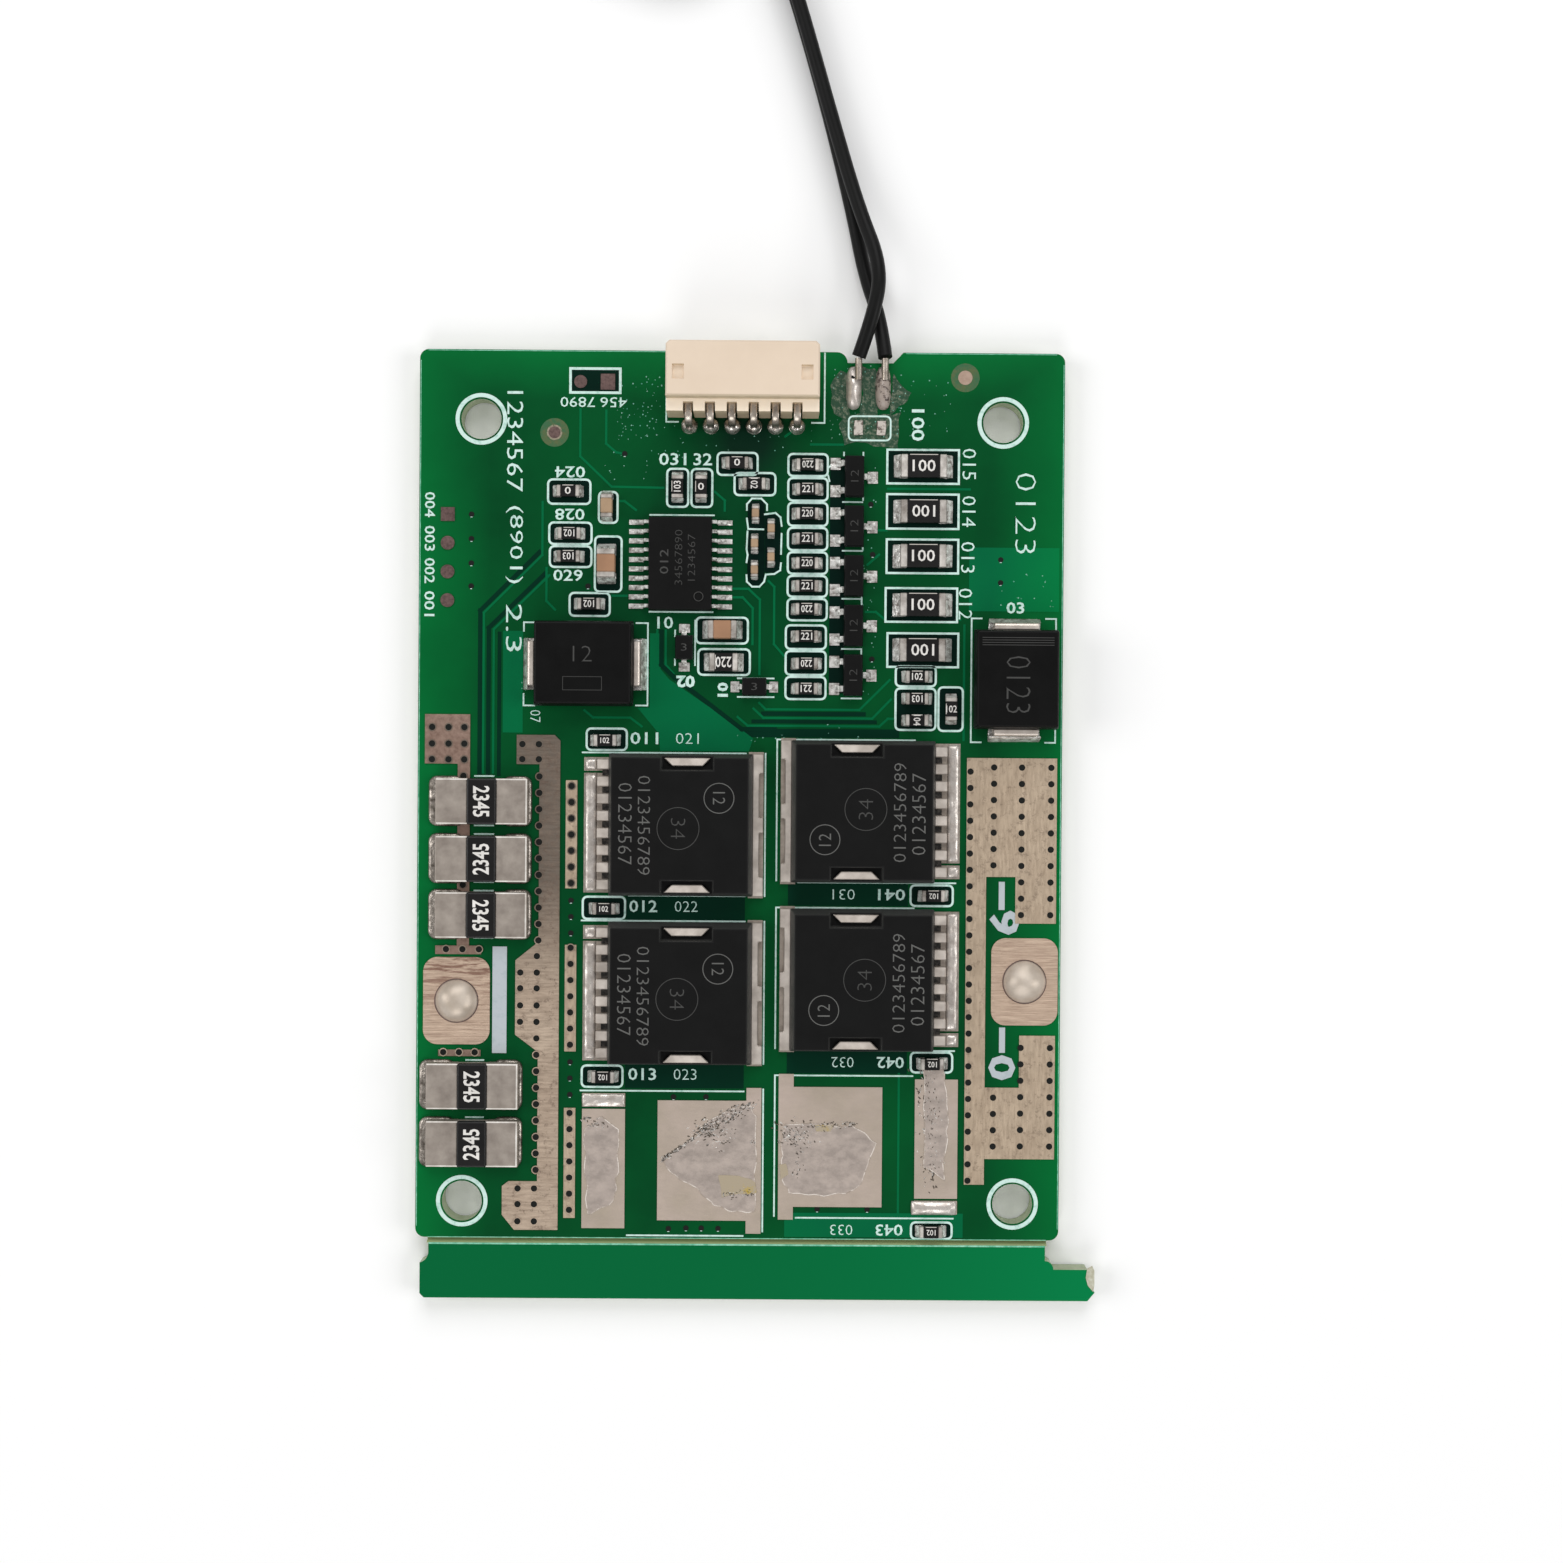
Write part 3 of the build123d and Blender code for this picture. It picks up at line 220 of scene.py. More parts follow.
def solder_mask(name):
    """The board: green on its faces with two pools of painted shade, pale glass fibre at its edges and dark in its
    scores.
    """
    finish, tone = mask_green(name, (0.0, 0.05, 0.013), (0.0, 0.162, 0.034))
    to_right = finish.math("POWER", finish.spread(finish.along("X"), -22.0, 25.0), 3.0)
    on_rail = finish.spread(finish.along("Y"), -31.15, -31.25)
    tone = finish.blend(on_rail, tone, finish.blend(to_right, (0.0, 0.124, 0.036), (0.0, 0.2, 0.058)))
    # Painted shade: two darker pools of green, a small deep one in front of the socket and a wide faint one further
    # down the board.
    for middle, near, far, most, shade in (
        ((0.4, 24.7, 1.6), 1.2, 4.2, 0.85, (0.002, 0.014, 0.009)),
        ((-1.0, 15.0, 1.6), 3.0, 13.0, 0.35, (0.0, 0.02, 0.01)),
    ):
        apart = finish.add("VectorMath", finish.position(), middle, out="Value", operation="DISTANCE")
        tone = finish.blend(finish.spread(apart, near, far, most, 0.0), tone, shade)
    dust = finish.spread(finish.noise(finish.position(), 3.2, 5.0, 0.8), 0.69, 0.74, 0.0, 0.35)
    upright = finish.math("ABSOLUTE", finish.facing("Z"), 0.0)
    edge = finish.blend(finish.clouds(0.8), (0.30, 0.36, 0.22), (0.42, 0.47, 0.33))
    cut = finish.blend(finish.spread(upright, 0.05, 0.15), edge, (0.4, 0.46, 0.25))
    dusty = finish.blend(dust, tone, (0.03, 0.2, 0.12))
    return finish.finished(finish.blend(finish.spread(upright, 0.96, 0.99), cut, dusty), finish.grain(1.3), 0.12)


def mask_over(name, deep, clear, scale=1.6, strength=0.12):
    """The mask over copper, over a gap, or inside a printed frame, where it looks almost black."""
    finish, tone = mask_green(name, deep, clear)
    return finish.finished(tone, finish.grain(scale), strength)


def printed_ink(name):
    """Screen-printed ink, thin enough at places to let the green through; the same white draws the painted glint
    under each covered via.
    """
    finish = Finish(name, 0.55, specular=0.2)
    return finish.finished(finish.blend(finish.clouds(0.35, 0.25, 0.5), (0.3, 0.54, 0.45), (0.6, 0.79, 0.73)))


def tinned_land(name, dark, light, across_x, across_y, tarnish=None, flecks=0.0):
    """Hot-tinned copper, wiped and flecked. The tarnish runs out along Y between two heights."""
    finish = Finish(name, 0.46, 0.55, 0.4)
    wiped = finish.wiping(across_x, across_y)
    tone = finish.blend(finish.math("MULTIPLY", finish.math("ADD", wiped, finish.clouds(2.4)), 0.5), dark, light)
    if tarnish:
        mottle = finish.spread(finish.noise(finish.position(), 2.6, 6.0, 0.75), 0.42, 0.6)
        reach = finish.spread(finish.along("Y"), *tarnish)
        stained = finish.math("MULTIPLY", reach, finish.spread(mottle, 0.0, 1.0, 0.7, 1.0))
        tone = finish.blend(stained, tone, finish.blend(mottle, (0.075, 0.055, 0.045), (0.19, 0.155, 0.125)))
    if flecks:
        fleck = finish.spread(finish.noise(finish.position(), 1.9, 7.0, 0.8), 0.55, 0.6, 0.0, flecks)
        tone = finish.blend(fleck, tone, (0.15, 0.1, 0.075))
    return finish.finished(tone, wiped, 0.25, rough=(wiped, 0.36, 0.58))


def streaked_tin(name):
    """The terminal lands: tin wiped from side to side, with brown streaks towards one end."""
    finish = Finish(name, 0.46, 0.5, 0.4)
    wiped = finish.wiping(0.5, 9.0)
    brown = finish.spread(finish.wiping(0.35, 3.2), 0.3, 0.7)
    reach = finish.math("MULTIPLY", finish.spread(finish.along("Y"), -15.5, -12.2, 0.15, 1.0), brown)
    reach = finish.math("MULTIPLY", reach, finish.spread(finish.along("X"), -2.0, 2.0, 1.0, 0.15))
    tone = finish.blend(wiped, (0.44, 0.315, 0.235), (0.66, 0.51, 0.39))
    return finish.finished(
        finish.blend(reach, tone, (0.22, 0.12, 0.085)), wiped, 0.4, 0.03, (wiped, 0.36, 0.58))


def filmed_land(name):
    """Open lands, evenly tinned with faint clouds and streaks."""
    finish = Finish(name, 0.44, 0.5, 0.4)
    cloud = finish.clouds(5.5, 0.35, 0.65)
    streaks = finish.wiping(0.9, 1.6)
    tone = finish.blend(cloud, (0.50, 0.42, 0.335), (0.56, 0.46, 0.395))
    tone = finish.blend(finish.math("MULTIPLY", streaks, 0.25), tone, (0.4, 0.33, 0.29))
    return finish.finished(tone, streaks, 0.2, 0.03, (cloud, 0.4, 0.5))


def solder_metal(name, dark, light, roughness, relief, size=0.55, metallic=0.85):
    """Solder that froze with a wavy skin; its clouds of light and dark are partly the solder's own mottle and
    partly painted highlights and painted dark reflections.
    """
    finish = Finish(name, roughness, metallic, 0.5)
    # Clouds of tone, partly painted sparkle highlights and painted dark reflections.
    cloud = finish.clouds(size, 0.35, 0.62)
    return finish.finished(finish.blend(cloud, dark, light), finish.clouds(0.4, 0.2, 0.8), relief, 0.08,
                           (cloud, roughness + 0.14, roughness - 0.06))


def plain_metal(name, dark, light, roughness=0.42, metallic=0.6, painted_slope_tone=0.0):
    """Tin plating on formed metal, darker by a share on the slopes as a painted reflection of the dark board."""
    finish = Finish(name, roughness, metallic, 0.45)
    cloud = finish.clouds(1.3)
    tone = finish.blend(cloud, dark, light)
    if painted_slope_tone:
        # Painted reflection: tilted faces darkened towards a fifth of the dark tone.
        turned = finish.spread(finish.facing("Z"), 0.4, 0.95, painted_slope_tone, 0.0)
        tone = finish.blend(turned, tone, tuple(0.2 * part for part in dark))
    return finish.finished(tone, finish.grain(9.0), 0.2, 0.015, (cloud, roughness - 0.06, roughness + 0.1))


def moulding(name, tone, roughness, scale, strength=0.3, specular=0.28):
    """Filled moulding resin, even in colour with a fine grain."""
    finish = Finish(name, roughness, specular=specular)
    cloud = finish.clouds(2.0, 0.25, 0.75)
    lifted = tuple(1.35 * part for part in tone)
    return finish.finished(finish.blend(cloud, tone, lifted), finish.grain(scale), strength,
                           rough=(cloud, roughness - 0.05, roughness + 0.07))


def housing_nylon(name):
    """Cream nylon, with painted shade on the walls that face the pins and painted light on the ledge below the top.
    """
    finish = Finish(name, 0.5, specular=0.25)
    top = mm_box("socket_housing")[2].z
    # Painted shade on the walls that face the pins, and painted light on the ledge below the top.
    turned = finish.spread(finish.facing("Y"), -0.9, -0.4, 1.0, 0.0)
    painted_lit_ledge = finish.spread(finish.along("Z"), top - 0.4, top - 0.3, 1.0, 0.0)
    tone = finish.blend(finish.clouds(4.0, 0.25, 0.75), (0.72, 0.585, 0.455), (0.78, 0.645, 0.51))
    tone = finish.blend(turned, finish.blend(painted_lit_ledge, tone, (0.96, 0.83, 0.67)), (0.66, 0.54, 0.37))
    return finish.finished(tone, finish.grain(7.0), 0.08)


def case_resin(name):
    """Black resin with a painted highlight, grey, on its sloping sides."""
    finish = Finish(name, 0.5, specular=0.1)
    # Painted highlight: the sloping sides lightened to grey.
    painted_slope_tone = finish.spread(finish.facing("Z"), 0.35, 0.97, 1.0, 0.0)
    tone = finish.blend(finish.clouds(2.0, 0.25, 0.75), (0.0055,) * 3, (0.008,) * 3)
    return finish.finished(finish.blend(painted_slope_tone, tone, (0.05, 0.05, 0.048)), finish.grain(22.0), 0.3)


def speckled(name, base, speck, scale, low, high, roughness=0.5, specular=0.3):
    """A ground with small irregular specks of another tone."""
    finish = Finish(name, roughness, specular=specular)
    specks = finish.spread(finish.noise(finish.position(), scale, 5.0, 0.75), low, high)
    return finish.finished(finish.blend(specks, base, speck), specks, 0.3)


finishes = {name: make(name, *values) for name, make, *values in (
    ("green_solder_mask", solder_mask),
    ("mask_over_copper", mask_over, (0.0, 0.112, 0.042), (0.0, 0.205, 0.05)),
    ("mask_over_gap", mask_over, (0.0, 0.021, 0.011), (0.0, 0.05, 0.02)),
    ("dark_window", mask_over, (0.0, 0.009, 0.006), (0.0, 0.02, 0.011), 2.5, 0.15),
    ("printed_white", printed_ink),
    ("wide_bar_ink", speckled, (0.46, 0.5, 0.53), (0.38, 0.44, 0.46), 1.5, 0.5, 0.7, 0.6, 0.2),
    ("tarnished_bus", tinned_land, (0.40, 0.30, 0.225), (0.6, 0.48, 0.37), 0.7, 6.0, (-14.0, -6.0), 0.5),
    ("tinned_plane", tinned_land, (0.46, 0.35, 0.25), (0.6, 0.48, 0.355), 5.0, 0.8, None, 0.4),
    ("stained_tin", tinned_land, (0.24, 0.15, 0.115), (0.36, 0.25, 0.2), 3.0, 3.0),
    ("streaked_tin", streaked_tin),
    ("bare_tin", tinned_land, (0.34, 0.28, 0.235), (0.5, 0.44, 0.38), 4.0, 4.0),
    # Oxide colour, also used for the painted shadow round the terminal domes.
    ("oxidised_copper", tinned_land, (0.07, 0.045, 0.042), (0.2, 0.125, 0.115), 5.0, 5.0),
    ("filmed_land", filmed_land),
    ("flowed_film", tinned_land, (0.43, 0.365, 0.325), (0.56, 0.475, 0.42), 0.8, 1.1),
    ("dried_flux", speckled, (0.4, 0.335, 0.24), (0.46, 0.33, 0.07), 0.9, 0.54, 0.64, 0.3, 0.4),
    # Painted highlight and shade: light and dark specks along the raised rims of the solder film.
    ("film_edge", speckled, (0.37, 0.305, 0.255), (0.7, 0.63, 0.57), 1.1, 0.42, 0.56, 0.35, 0.4),
    ("bright_solder", solder_metal, (0.24, 0.21, 0.19), (1.0, 0.98, 0.94), 0.25, 0.5, 0.4, 0.5),
    ("dull_solder", solder_metal, (0.45, 0.4, 0.36), (0.74, 0.68, 0.63), 0.32, 0.25, 0.55, 0.55),
    ("marbled_solder", solder_metal, (0.1, 0.085, 0.07), (0.42, 0.375, 0.33), 0.3, 0.45),
    ("pin_solder", solder_metal, (0.28, 0.23, 0.19), (0.95, 0.9, 0.84), 0.2, 0.45),
    ("formed_tin", solder_metal, (0.16, 0.15, 0.13), (1.0, 1.0, 0.96), 0.24, 0.3, 0.25, 0.35),
    ("pitted_solder", speckled, (0.36, 0.3, 0.26), (0.06, 0.04, 0.035), 2.4, 0.52, 0.58, 0.34, 0.5),
    ("ragged_solder", speckled, (0.55, 0.5, 0.45), (0.14, 0.11, 0.09), 2.2, 0.5, 0.58, 0.35, 0.5),
    ("dome_solder", plain_metal, (0.5, 0.42, 0.34), (0.64, 0.56, 0.48), 0.42, 0.35),
    ("lead_tin", plain_metal, (0.62, 0.545, 0.48), (0.92, 0.83, 0.75), 0.36, 0.6, 0.55),
    ("edge_glint", plain_metal, (0.62, 0.56, 0.5), (1.0, 0.97, 0.92), 0.35, 0.25),
    ("shunt_tin", plain_metal, (0.26, 0.22, 0.19), (0.4, 0.35, 0.305), 0.48, 0.45),
    ("pin_metal", plain_metal, (0.3, 0.245, 0.195), (0.85, 0.77, 0.68), 0.26, 0.7, 0.7),
    ("cap_metal", plain_metal, (0.4, 0.35, 0.31), (0.95, 0.9, 0.84), 0.3, 0.65, 0.6),
    ("black_resin", moulding, (0.0045,) * 3, 0.5, 22.0, 0.3, 0.1),
    ("diode_resin", moulding, (0.0038,) * 3, 0.42, 26.0, 0.2, 0.1),
    ("black_coat", moulding, (0.006, 0.0055, 0.0055), 0.36, 30.0, 0.15),
    ("cream_nylon", housing_nylon),
    ("case_resin", case_resin),
    ("brown_ceramic", moulding, (0.30, 0.165, 0.095), 0.55, 12.0, 0.2),
    ("tan_ceramic", moulding, (0.33, 0.225, 0.14), 0.55, 12.0, 0.2),
    ("black_insulation", moulding, (0.006,) * 3, 0.4, 5.0, 0.25, 0.12),
    ("bead_resin", moulding, (0.01,) * 3, 0.25, 3.0, 0.2),
    ("tie_plastic", moulding, (0.03,) * 3, 0.4, 6.0, 0.2),
    # Painted shade: the dark of via mouths, covered-via dimples and the pit in a lead joint.
    ("hole_dark", moulding, (0.004, 0.005, 0.004), 0.8, 9.0, 0.1),
    ("chip_side_white", moulding, (0.5, 0.47, 0.43), 0.6, 9.0, 0.15),
    ("white_figures", moulding, (0.62, 0.6, 0.57), 0.5, 9.0, 0.1),
    ("laser_grey", moulding, (0.1, 0.1, 0.095), 0.75, 30.0, 0.3),
    ("faint_grey", moulding, (0.045, 0.045, 0.043), 0.6, 30.0, 0.2),
    ("flux_residue", speckled, (0.02, 0.062, 0.032), (0.16, 0.19, 0.13), 3.6, 0.5, 0.62, 0.3, 0.4),
    # Painted shadow for the dark cones among the frozen crumbs.
    ("dirty_flux", speckled, (0.04, 0.033, 0.027), (0.16, 0.13, 0.1), 4.0, 0.4, 0.6),
    ("pale_specks", speckled, (0.08, 0.36, 0.26), (0.3, 0.55, 0.46), 5.0, 0.4, 0.6),
    ("torn_mask_lip", speckled, (0.1, 0.42, 0.26), (0.3, 0.66, 0.5), 2.0, 0.4, 0.62),
    ("glass_fibre", speckled, (0.42, 0.40, 0.29), (0.6, 0.6, 0.5), 2.5, 0.4, 0.65, 0.7),
    ("clear_opening", speckled, (0.035, 0.12, 0.05), (0.09, 0.12, 0.045), 1.6, 0.4, 0.6),
    ("pink_tin", speckled, (0.42, 0.30, 0.235), (0.36, 0.25, 0.19), 2.0, 0.4, 0.6),
    ("worn_rim", speckled, (0.32, 0.27, 0.2), (0.1, 0.12, 0.06), 3.0, 0.45, 0.6),
    ("shaded_gap", speckled, (0.015, 0.013, 0.012), (0.09, 0.08, 0.07), 3.5, 0.45, 0.65),
)}

# CAD nodes that stay in view
for node, finish in (
    ("circuit_board", "green_solder_mask"), ("left_bus_land", "tarnished_bus"),
    ("right_bus_land", "tinned_plane"), ("sense_lands", "stained_tin"), ("via_strip_lands", "tinned_plane"),
    ("terminal_lands", "streaked_tin"), ("transistor_lands", "bare_tin"),
    ("open_transistor_lands", "filmed_land"), ("component_lands", "bright_solder"),
    ("test_lands", "oxidised_copper"), ("balance_resistor_bodies", "black_coat"),
    ("input_resistor_bodies", "black_coat"), ("gate_resistor_bodies", "black_coat"),
    ("logic_resistor_bodies", "black_coat"), ("supply_resistor_bodies", "black_coat"),
    ("sensor_coil_tie", "tie_plastic"), ("sensor_bead", "bead_resin"), ("sensor_lead_strands", "pin_metal"),
):
    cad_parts[node].data.materials.clear()
    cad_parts[node].data.materials.append(finishes[finish])


# Mesh helpers


def join(target, part):
    """Joins one finished mesh into another."""
    carrier = bpy.data.meshes.new("carrier")
    part.to_mesh(carrier)
    part.free()
    target.from_mesh(carrier)
    bpy.data.meshes.remove(carrier)


def placed(name, data):
    """A new object in the scene."""
    made = bpy.data.objects.new(name, data)
    bpy.context.scene.collection.objects.link(made)
    return made


def riding(name, data, finish):
    """A piece that rides on the board."""
    data.materials.append(finishes[finish])
    made = placed(name, data)
    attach(made, "root")
    return made


def piece(name, mesh, finish, replaces=(), smooth=False):
    """Finishes a mesh as a piece that rides on the board."""
    bmesh.ops.recalc_face_normals(mesh, faces=mesh.faces)
    bmesh.ops.scale(mesh, vec=(MM, MM, MM), verts=mesh.verts)
    for face in mesh.faces:
        face.smooth = smooth
    data = bpy.data.meshes.new(name)
    mesh.to_mesh(data)
    mesh.free()
    made = riding(name, data, finish)
    if replaces:
        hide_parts(*replaces)


def solid_of(node):
    """A merged copy of a CAD node, in millimetres."""
    mesh = bmesh.new()
    mesh.from_mesh(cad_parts[node].data)
    bmesh.ops.scale(mesh, vec=(1 / MM, 1 / MM, 1 / MM), verts=mesh.verts)
    bmesh.ops.remove_doubles(mesh, verts=mesh.verts, dist=0.0004)
    bmesh.ops.dissolve_limit(mesh, angle_limit=radians(1), verts=mesh.verts, edges=mesh.edges)
    return mesh


def rounded(mesh, geom, offset, segments, affect="EDGES", clamp=False):
    bmesh.ops.bevel(mesh, geom=geom, offset=offset, offset_type="OFFSET", segments=segments, profile=0.5,
                    affect=affect, clamp_overlap=clamp, material=-1)


def softened(node, edge, segments=2):
    """A copy of a CAD node with its sharp edges rounded."""
    mesh = solid_of(node)
    sharp = [e for e in mesh.edges if len(e.link_faces) == 2 and e.calc_face_angle(0) > radians(30)]
    rounded(mesh, sharp, edge, segments, clamp=True)
    return mesh


def cover(name, node, finish, edge, segments=2, smooth=False):
    """A softened copy of a CAD node in that node's place."""
    piece(name, softened(node, edge, segments), finish, [node], smooth)


def solids_in(node):
    """Lowest corner, middle and highest corner of each solid of a CAD node, from the top row down."""
    mesh = solid_of(node)
    left = set(mesh.verts)
    boxes = []
    while left:
        front = [left.pop()]
        found = list(front)
        while front:
            vert = front.pop()
            near = {edge.other_vert(vert) for edge in vert.link_edges} & left
            left -= near
            front += near
            found += near
        low, high = (Vector([pick(v.co[i] for v in found) for i in range(3)]) for pick in (min, max))
        boxes.append((low, (low + high) / 2, high))
    mesh.free()
    return sorted(boxes, key=lambda box: (-round(box[2].y, 1), box[0].x))


def ruffle(mesh, amount, size, seed=0.0, above=-1e9):
    """Pushes the points of a mesh along their normals by a smooth noise."""
    mesh.normal_update()
    shifts = [(v, v.normal * amount * noise.noise(v.co / size + Vector((seed, seed, 0)))) for v in mesh.verts]
    for vert, shift in shifts:
        if vert.co.z > above:
            vert.co += shift


def cut_below(mesh, z):
    bmesh.ops.bisect_plane(mesh, geom=mesh.verts[:] + mesh.edges[:] + mesh.faces[:], plane_co=(0, 0, z),
                           plane_no=(0, 0, -1), clear_outer=True)


def outline(corners, z):
    """One flat face with the given corners."""
    part = bmesh.new()
    part.faces.new([part.verts.new((x, y, z)) for x, y in corners])
    return part


def rectangle(left, bottom, right, top):
    return (left, bottom), (right, bottom), (right, top), (left, top)


def raised(mesh, thickness):
    """Gives flat faces a thickness upwards."""
    made = bmesh.ops.extrude_face_region(mesh, geom=mesh.faces[:])
    verts = [v for v in made["geom"] if isinstance(v, bmesh.types.BMVert)]
    bmesh.ops.translate(mesh, verts=verts, vec=(0, 0, thickness))


@cache
def figure_mesh(text, weight):
    """Flat figures one unit high, centred on the origin, and their length."""
    curve = bpy.data.curves.new("figures", "FONT")
    curve.body = text
    curve.resolution_u = 2
    curve.offset = weight
    holder = placed("figures", curve)
    bpy.context.view_layer.update()
    flat = bpy.data.meshes.new_from_object(holder.evaluated_get(bpy.context.evaluated_depsgraph_get()))
    bpy.data.objects.remove(holder)
    xs, ys, _ = zip(*(v.co for v in flat.vertices))
    tall = max(ys) - min(ys)
    middle = Vector(((max(xs) + min(xs)) / 2, (max(ys) + min(ys)) / 2, 0))
    flat.transform(Matrix.Scale(1 / tall, 4) @ Matrix.Translation(-middle))
    return flat, (max(xs) - min(xs)) / tall


class Sheet:
    """A piece drawn as flat shapes, each at the height and in the thickness set at the time."""

    def __init__(self, name, finish, slot="green_board", z=mask_z, thickness=ink_skin):
        self.about = name, finish, slot
        self.mesh, self.z, self.thickness = bmesh.new(), z, thickness

    def done(self):
        name, finish, slot = self.about
        piece(name, self.mesh, finish)

    def slab(self, corners):
        """A flat plate with the given corners."""
        part = outline(corners, self.z)
        raised(part, self.thickness)
        join(self.mesh, part)

    def block(self, left, bottom, right, top):
        self.slab(rectangle(left, bottom, right, top))

    def stroke(self, start, end, width):
        """A straight stroke between two points, a hair higher or lower than the one before it."""
        height = self.thickness + copper_skin * 0.04 * (len(self.mesh.verts) // 8 % 7)
        first, last = Vector((*start, 0)), Vector((*end, 0))
        run = last - first
        place = Matrix.Translation((first + last) / 2 + Vector((0, 0, self.z + height / 2)))
        turn = Matrix.Rotation(run.to_2d().angle_signed(Vector((1, 0)), 0.0), 4, "Z")
        size = Matrix.Diagonal((run.length + width, width, height, 1))
        bmesh.ops.create_cube(self.mesh, size=1.0, matrix=place @ turn @ size)

    def paths(self, width, *routes):
        """Strokes from point to point of each route."""
        for route in routes:
            for start, end in zip(route, route[1:]):
                self.stroke(start, end, width)

    def hoop(self, part, width):
        """Leaves a band of the given width along the outline of a flat face, and raises it."""
        inner = part.faces[:]
        part.normal_update()
        bmesh.ops.inset_region(part, faces=inner, thickness=width, use_boundary=True, use_even_offset=True)
        bmesh.ops.delete(part, geom=inner, context="FACES")
        raised(part, self.thickness)
        join(self.mesh, part)

    def frame(self, sides, corner, width):
        """A rectangular outline, with rounded corners where corner is above nought."""
        part = outline(rectangle(*sides), self.z)
        if corner > 0:
            rounded(part, part.verts[:], corner, 4, "VERTICES")
        self.hoop(part, width)

    def ring(self, x, y, inner, outer, sides=32):
        part = bmesh.new()
        bmesh.ops.create_circle(part, cap_ends=True, radius=outer, segments=sides,
                                matrix=Matrix.Translation((x, y, self.z)))
        self.hoop(part, outer - inner)

    def disc(self, x, y, radius, sides=14):
        bmesh.ops.create_cone(
            self.mesh, cap_ends=True, segments=sides, radius1=radius, radius2=radius, depth=self.thickness,
            matrix=Matrix.Translation((x, y, self.z + self.thickness / 2)))

    def figures(self, text, x, y, height, length, turn=0, weight=0.0):
        """Plain figures of a given height and length, turned about Z in degrees."""
        flat, wide = figure_mesh(text, weight)
        part = bmesh.new()
        part.from_mesh(flat)
        raised(part, self.thickness / height)
        place = Matrix.Translation((x, y, self.z)) @ Matrix.Rotation(radians(turn), 4, "Z")
        size = Matrix.Diagonal((length / wide, height, height, 1))
        bmesh.ops.transform(part, matrix=place @ size, verts=part.verts)
        join(self.mesh, part)

    def wavering(self, corners, sway, rims=None):
        """A flat film whose edge wavers, with a thin raised rim where one is asked for."""
        part = outline(corners, self.z)
        bmesh.ops.subdivide_edges(part, edges=part.edges[:], cuts=6)
        for vert in part.verts:
            shift = noise.noise_vector(vert.co / 0.9)
            vert.co += Vector((shift.x, shift.y, 0)) * sway
        if rims:
            rims.thickness = self.thickness + 0.006
            rims.hoop(part.copy(), 0.07)
        raised(part, self.thickness)
        join(self.mesh, part)


# Board: copper that shows under the mask, the score, vias and printed marks


